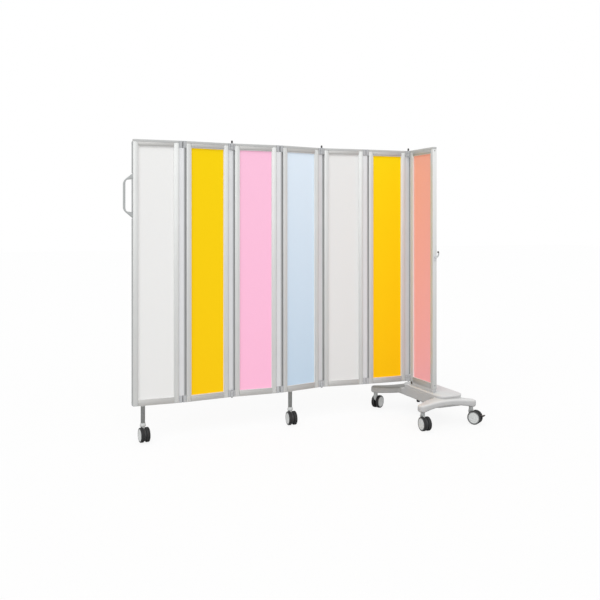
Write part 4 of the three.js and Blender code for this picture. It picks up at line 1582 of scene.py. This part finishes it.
# White nylon, satin, greyed towards the floor by painted shade.
cover_nylon = pressed_sheet("white_nylon_edge_strip", COVER_WHITE, COVER_SHADED_GREY)
cover = edge_strip(COVER_PROUD, COVER_WIDTH, COVER_CORNER, edge_low, edge_high)
cover_mesh = finished("edge_cover", cover, cover_nylon)
last_place = places[LEAF_COUNT]
fitted("free_edge_cover", cover_mesh, last_place, "base", "sight_strip")
cover_screws = finished("cover_screws", edge_screws(COVER_PROUD), post_plating)
fitted(f"leaf_{LEAF_COUNT}_edge_screws", cover_screws, last_place, "base", "steel_tube")

leg_outer = HANDLE_SPAN / 2 + BUMPER_NOTCH
leg_inner = HANDLE_SPAN / 2 - HANDLE_LEG - BUMPER_NOTCH
bumper = combined(*[
    edge_strip(BUMPER_PROUD, BUMPER_WIDTH, BUMPER_CORNER, low, high)
    for low, high in (
        (edge_low, handle_height - leg_outer),
        (handle_height - leg_inner, handle_height + leg_inner),
        (handle_height + leg_outer, edge_high),
    )
])
# Matt grey rubber, darker than the metal beside it; its grey is partly painted shade of the leaf's
# free edge.
bumper_rubber = fine_grained("grey_bumper_rubber", BUMPER_EDGE_SHADE_GREY, BUMPER_EDGE_SHADE_GREY_PALE, 0.65, **rubber)
bumper_mesh = finished("bumper", bumper, bumper_rubber)
leaf_middle = Matrix.Translation((LEAF_WIDTH / 2 * MM, LEAF_THICKNESS / 2 * MM, 0))
about_face = leaf_middle @ Matrix.Rotation(math.pi, 4, "Z") @ leaf_middle.inverted()
first_place = places[1] @ about_face
fitted("leaf_1_edge_bumper", bumper_mesh, first_place, "leaf_1", "dark_plastic")
bumper_screws = finished("bumper_screws", edge_screws(BUMPER_PROUD), post_plating)
fitted("leaf_1_edge_screws", bumper_screws, first_place, "leaf_1", "steel_tube")


# Latch
# A pale plate on the free edge of the last leaf carries a flat grey zinc hook with a dark ball tip,
# which turns over the folded leaves and keeps them shut.

LATCH_HEIGHT = 987
LATCH_PLATE_HEIGHT = 36
LATCH_PLATE_WIDTH = 16
LATCH_PLATE_THICKNESS = 5
LATCH_PLATE_CORNER = 5
LATCH_PLATE_EDGE = 0.9
LATCH_PIN_RADIUS = 3
LATCH_SCREW_OFFSET = 12.5
LATCH_SCREW_RADIUS = 2.6
LATCH_SCREW_HEIGHT = 0.9
HOOK_RADIUS = 21.3
HOOK_HALF_WIDTH = 4
HOOK_THICKNESS = 6
HOOK_EDGE = 1.6
HOOK_EYE = 6
HOOK_EYE_EDGE = 0.8
HOOK_BALL = 6
HOOK_TIP_ANGLE = 30
HOOK_GREY = "#bbbdbd"
HOOK_GREY_PALE = "#c6c8c8"


def latch_plate():
    """The plate with its two screws and the headed pin that the hook turns on."""
    half, side, top = LATCH_PLATE_HEIGHT / 2, LATCH_PLATE_WIDTH / 2, LATCH_PLATE_THICKNESS
    plate = round_box(-half, half, -side, side, 0, top, LATCH_PLATE_CORNER, LATCH_PLATE_EDGE)
    seat = top + FIT + HOOK_THICKNESS + FIT
    pin = barrel(0, 0, 0, seat, LATCH_PIN_RADIUS)
    head = lathed([(0, seat), (5, seat), (5, seat + 1), (4, seat + 2), (0, seat + 2)], 32)
    screws = [
        moved(screw_head(LATCH_SCREW_RADIUS, LATCH_SCREW_HEIGHT), x, 0, top)
        for x in (-LATCH_SCREW_OFFSET, LATCH_SCREW_OFFSET)
    ]
    latch = combined(plate, pin, head, *screws)
    return facing_right(latch, LEAF_WIDTH + FIT, LEAF_THICKNESS / 2, LATCH_HEIGHT)


def hook_middle():
    """The middle of the hook's thickness, of its curve and of its ball."""
    x = LEAF_WIDTH + 2 * FIT + LATCH_PLATE_THICKNESS + HOOK_THICKNESS / 2
    centre = (LEAF_THICKNESS / 2, LATCH_HEIGHT + HOOK_RADIUS)
    return x, centre, arc(*centre, HOOK_RADIUS, HOOK_TIP_ANGLE, HOOK_TIP_ANGLE + 1, 1)[0]


def latch_arm():
    """The flat hook: an eye round the pin and a band that bends up to the ball."""
    x, centre, _ = hook_middle()
    outer = arc(*centre, HOOK_RADIUS + HOOK_HALF_WIDTH, -90, HOOK_TIP_ANGLE, 24)
    inner = arc(*centre, HOOK_RADIUS - HOOK_HALF_WIDTH, HOOK_TIP_ANGLE, -90, 24)
    half = HOOK_THICKNESS / 2
    band = soften(prism([*outer, *inner], -half, half), HOOK_EDGE, 3, 60)
    band.transform(LAID_ALONG_X)
    eye = barrel(0, 0, 0, HOOK_THICKNESS, HOOK_EYE, HOOK_EYE_EDGE)
    facing_right(eye, x - half, LEAF_THICKNESS / 2, LATCH_HEIGHT)
    return combined(moved(band, x), eye)


def latch_ball():
    x, _, tip = hook_middle()
    ball = lathed(arc(0, 0, HOOK_BALL, -90, 90, 18), 32)
    return moved(ball, x, *tip)


latch_mesh = finished("latch", latch_plate(), strip_coat)
fitted("latch_backing", latch_mesh, last_place, "base", "hinge_grey", "latch_plate")
# The brackets' lacquered zinc in a paler grey.
hook_zinc = fine_grained("pale_grey_lacquered_zinc", HOOK_GREY, HOOK_GREY_PALE, 0.4, **lacquer)
hook_mesh = finished("hook", latch_arm(), hook_zinc)
fitted("latch_hook_arm", hook_mesh, last_place, "latch", "dark_plastic", "latch_hook")
ball_mesh = finished("ball", latch_ball(), dark_nylon)
fitted("latch_hook_ball", ball_mesh, last_place, "latch", "dark_plastic")


# Studio
# A pale floor in a white surround, one soft light high on the left in front, and the camera at the
# photograph's place: level, 1.19 m above the floor, with the picture shifted down.

EYE_FROM_BASE = Vector((-2536.5, -3903.0))
EYE_HEIGHT = 1185.3
YAW = 23.7
LENS = 44.4
SENSOR = 36
SHIFT = -0.126
SUN_FROM = Vector((-0.42, -0.72, 0.55))
SUN_STRENGTH = 1.16
SUN_SPREAD = 70
SKY_STRENGTH = 0.74
FLOOR_SPAN = 60
FLOOR_GREY = "#dcdcdc"
FLOOR_GLOW = 0.85
WHITE = "#ffffff"

ground = bmesh.new()
bmesh.ops.create_grid(ground, x_segments=1, y_segments=1, size=FLOOR_SPAN / 2)
floor_data = bpy.data.meshes.new("floor")
ground.to_mesh(floor_data)
ground.free()
floor = bpy.data.objects.new("floor", floor_data)
bpy.context.scene.collection.objects.link(floor)
floor_finish = new_finish("pale_studio_floor")
by_camera = add(floor_finish, "LightPath", {}).outputs["Is Camera Ray"]
tone = add(
    floor_finish, "Mix", {0: by_camera, 6: linear(FLOOR_GREY), 7: linear(WHITE)},
    data_type="RGBA",
)
matt = add(floor_finish, "BsdfDiffuse", {"Color": tone.outputs[2]})
glow = add(floor_finish, "Emission", {"Color": linear(WHITE), "Strength": 1})
share = add(floor_finish, "MapRange", {"Value": by_camera, "To Min": 0, "To Max": FLOOR_GLOW})
seen = add(
    floor_finish, "MixShader", {0: share.outputs[0], 1: matt.outputs[0], 2: glow.outputs[0]}
)
add(floor_finish, "OutputMaterial", {"Surface": seen.outputs[0]})
floor_data.materials.append(floor_finish)

world = bpy.data.worlds.new("studio")
bpy.context.scene.world = world
world.use_nodes = True
world.node_tree.nodes.clear()
ray = add(world, "LightPath", {}).outputs
shown = ray["Is Camera Ray"]
for kind in ("Is Glossy Ray", "Is Transmission Ray"):
    shown = add(world, "Math", {0: shown, 1: ray[kind]}, operation="MAXIMUM").outputs[0]
strength = add(world, "MapRange", {"Value": shown, "To Min": SKY_STRENGTH, "To Max": 1})
sky = add(world, "Background", {"Color": linear(WHITE), "Strength": strength.outputs[0]})
add(world, "OutputWorld", {"Surface": sky.outputs[0]})

sun_data = bpy.data.lights.new("soft_sun", "SUN")
sun_data.energy = SUN_STRENGTH
sun_data.angle = math.radians(SUN_SPREAD)
sun = bpy.data.objects.new("soft_sun", sun_data)
sun.rotation_euler = SUN_FROM.to_track_quat("Z", "Y").to_euler()
bpy.context.scene.collection.objects.link(sun)

camera_data = bpy.data.cameras.new("camera")
camera_data.lens = LENS
camera_data.sensor_width = SENSOR
camera_data.shift_y = SHIFT
camera = bpy.data.objects.new("camera", camera_data)
camera.location = (*((base_middle.xy + EYE_FROM_BASE) * MM), EYE_HEIGHT * MM)
camera.rotation_euler = (math.pi / 2, 0, -math.radians(YAW))
bpy.context.scene.collection.objects.link(camera)
bpy.context.scene.camera = camera
bpy.context.scene.view_settings.view_transform = "Standard"
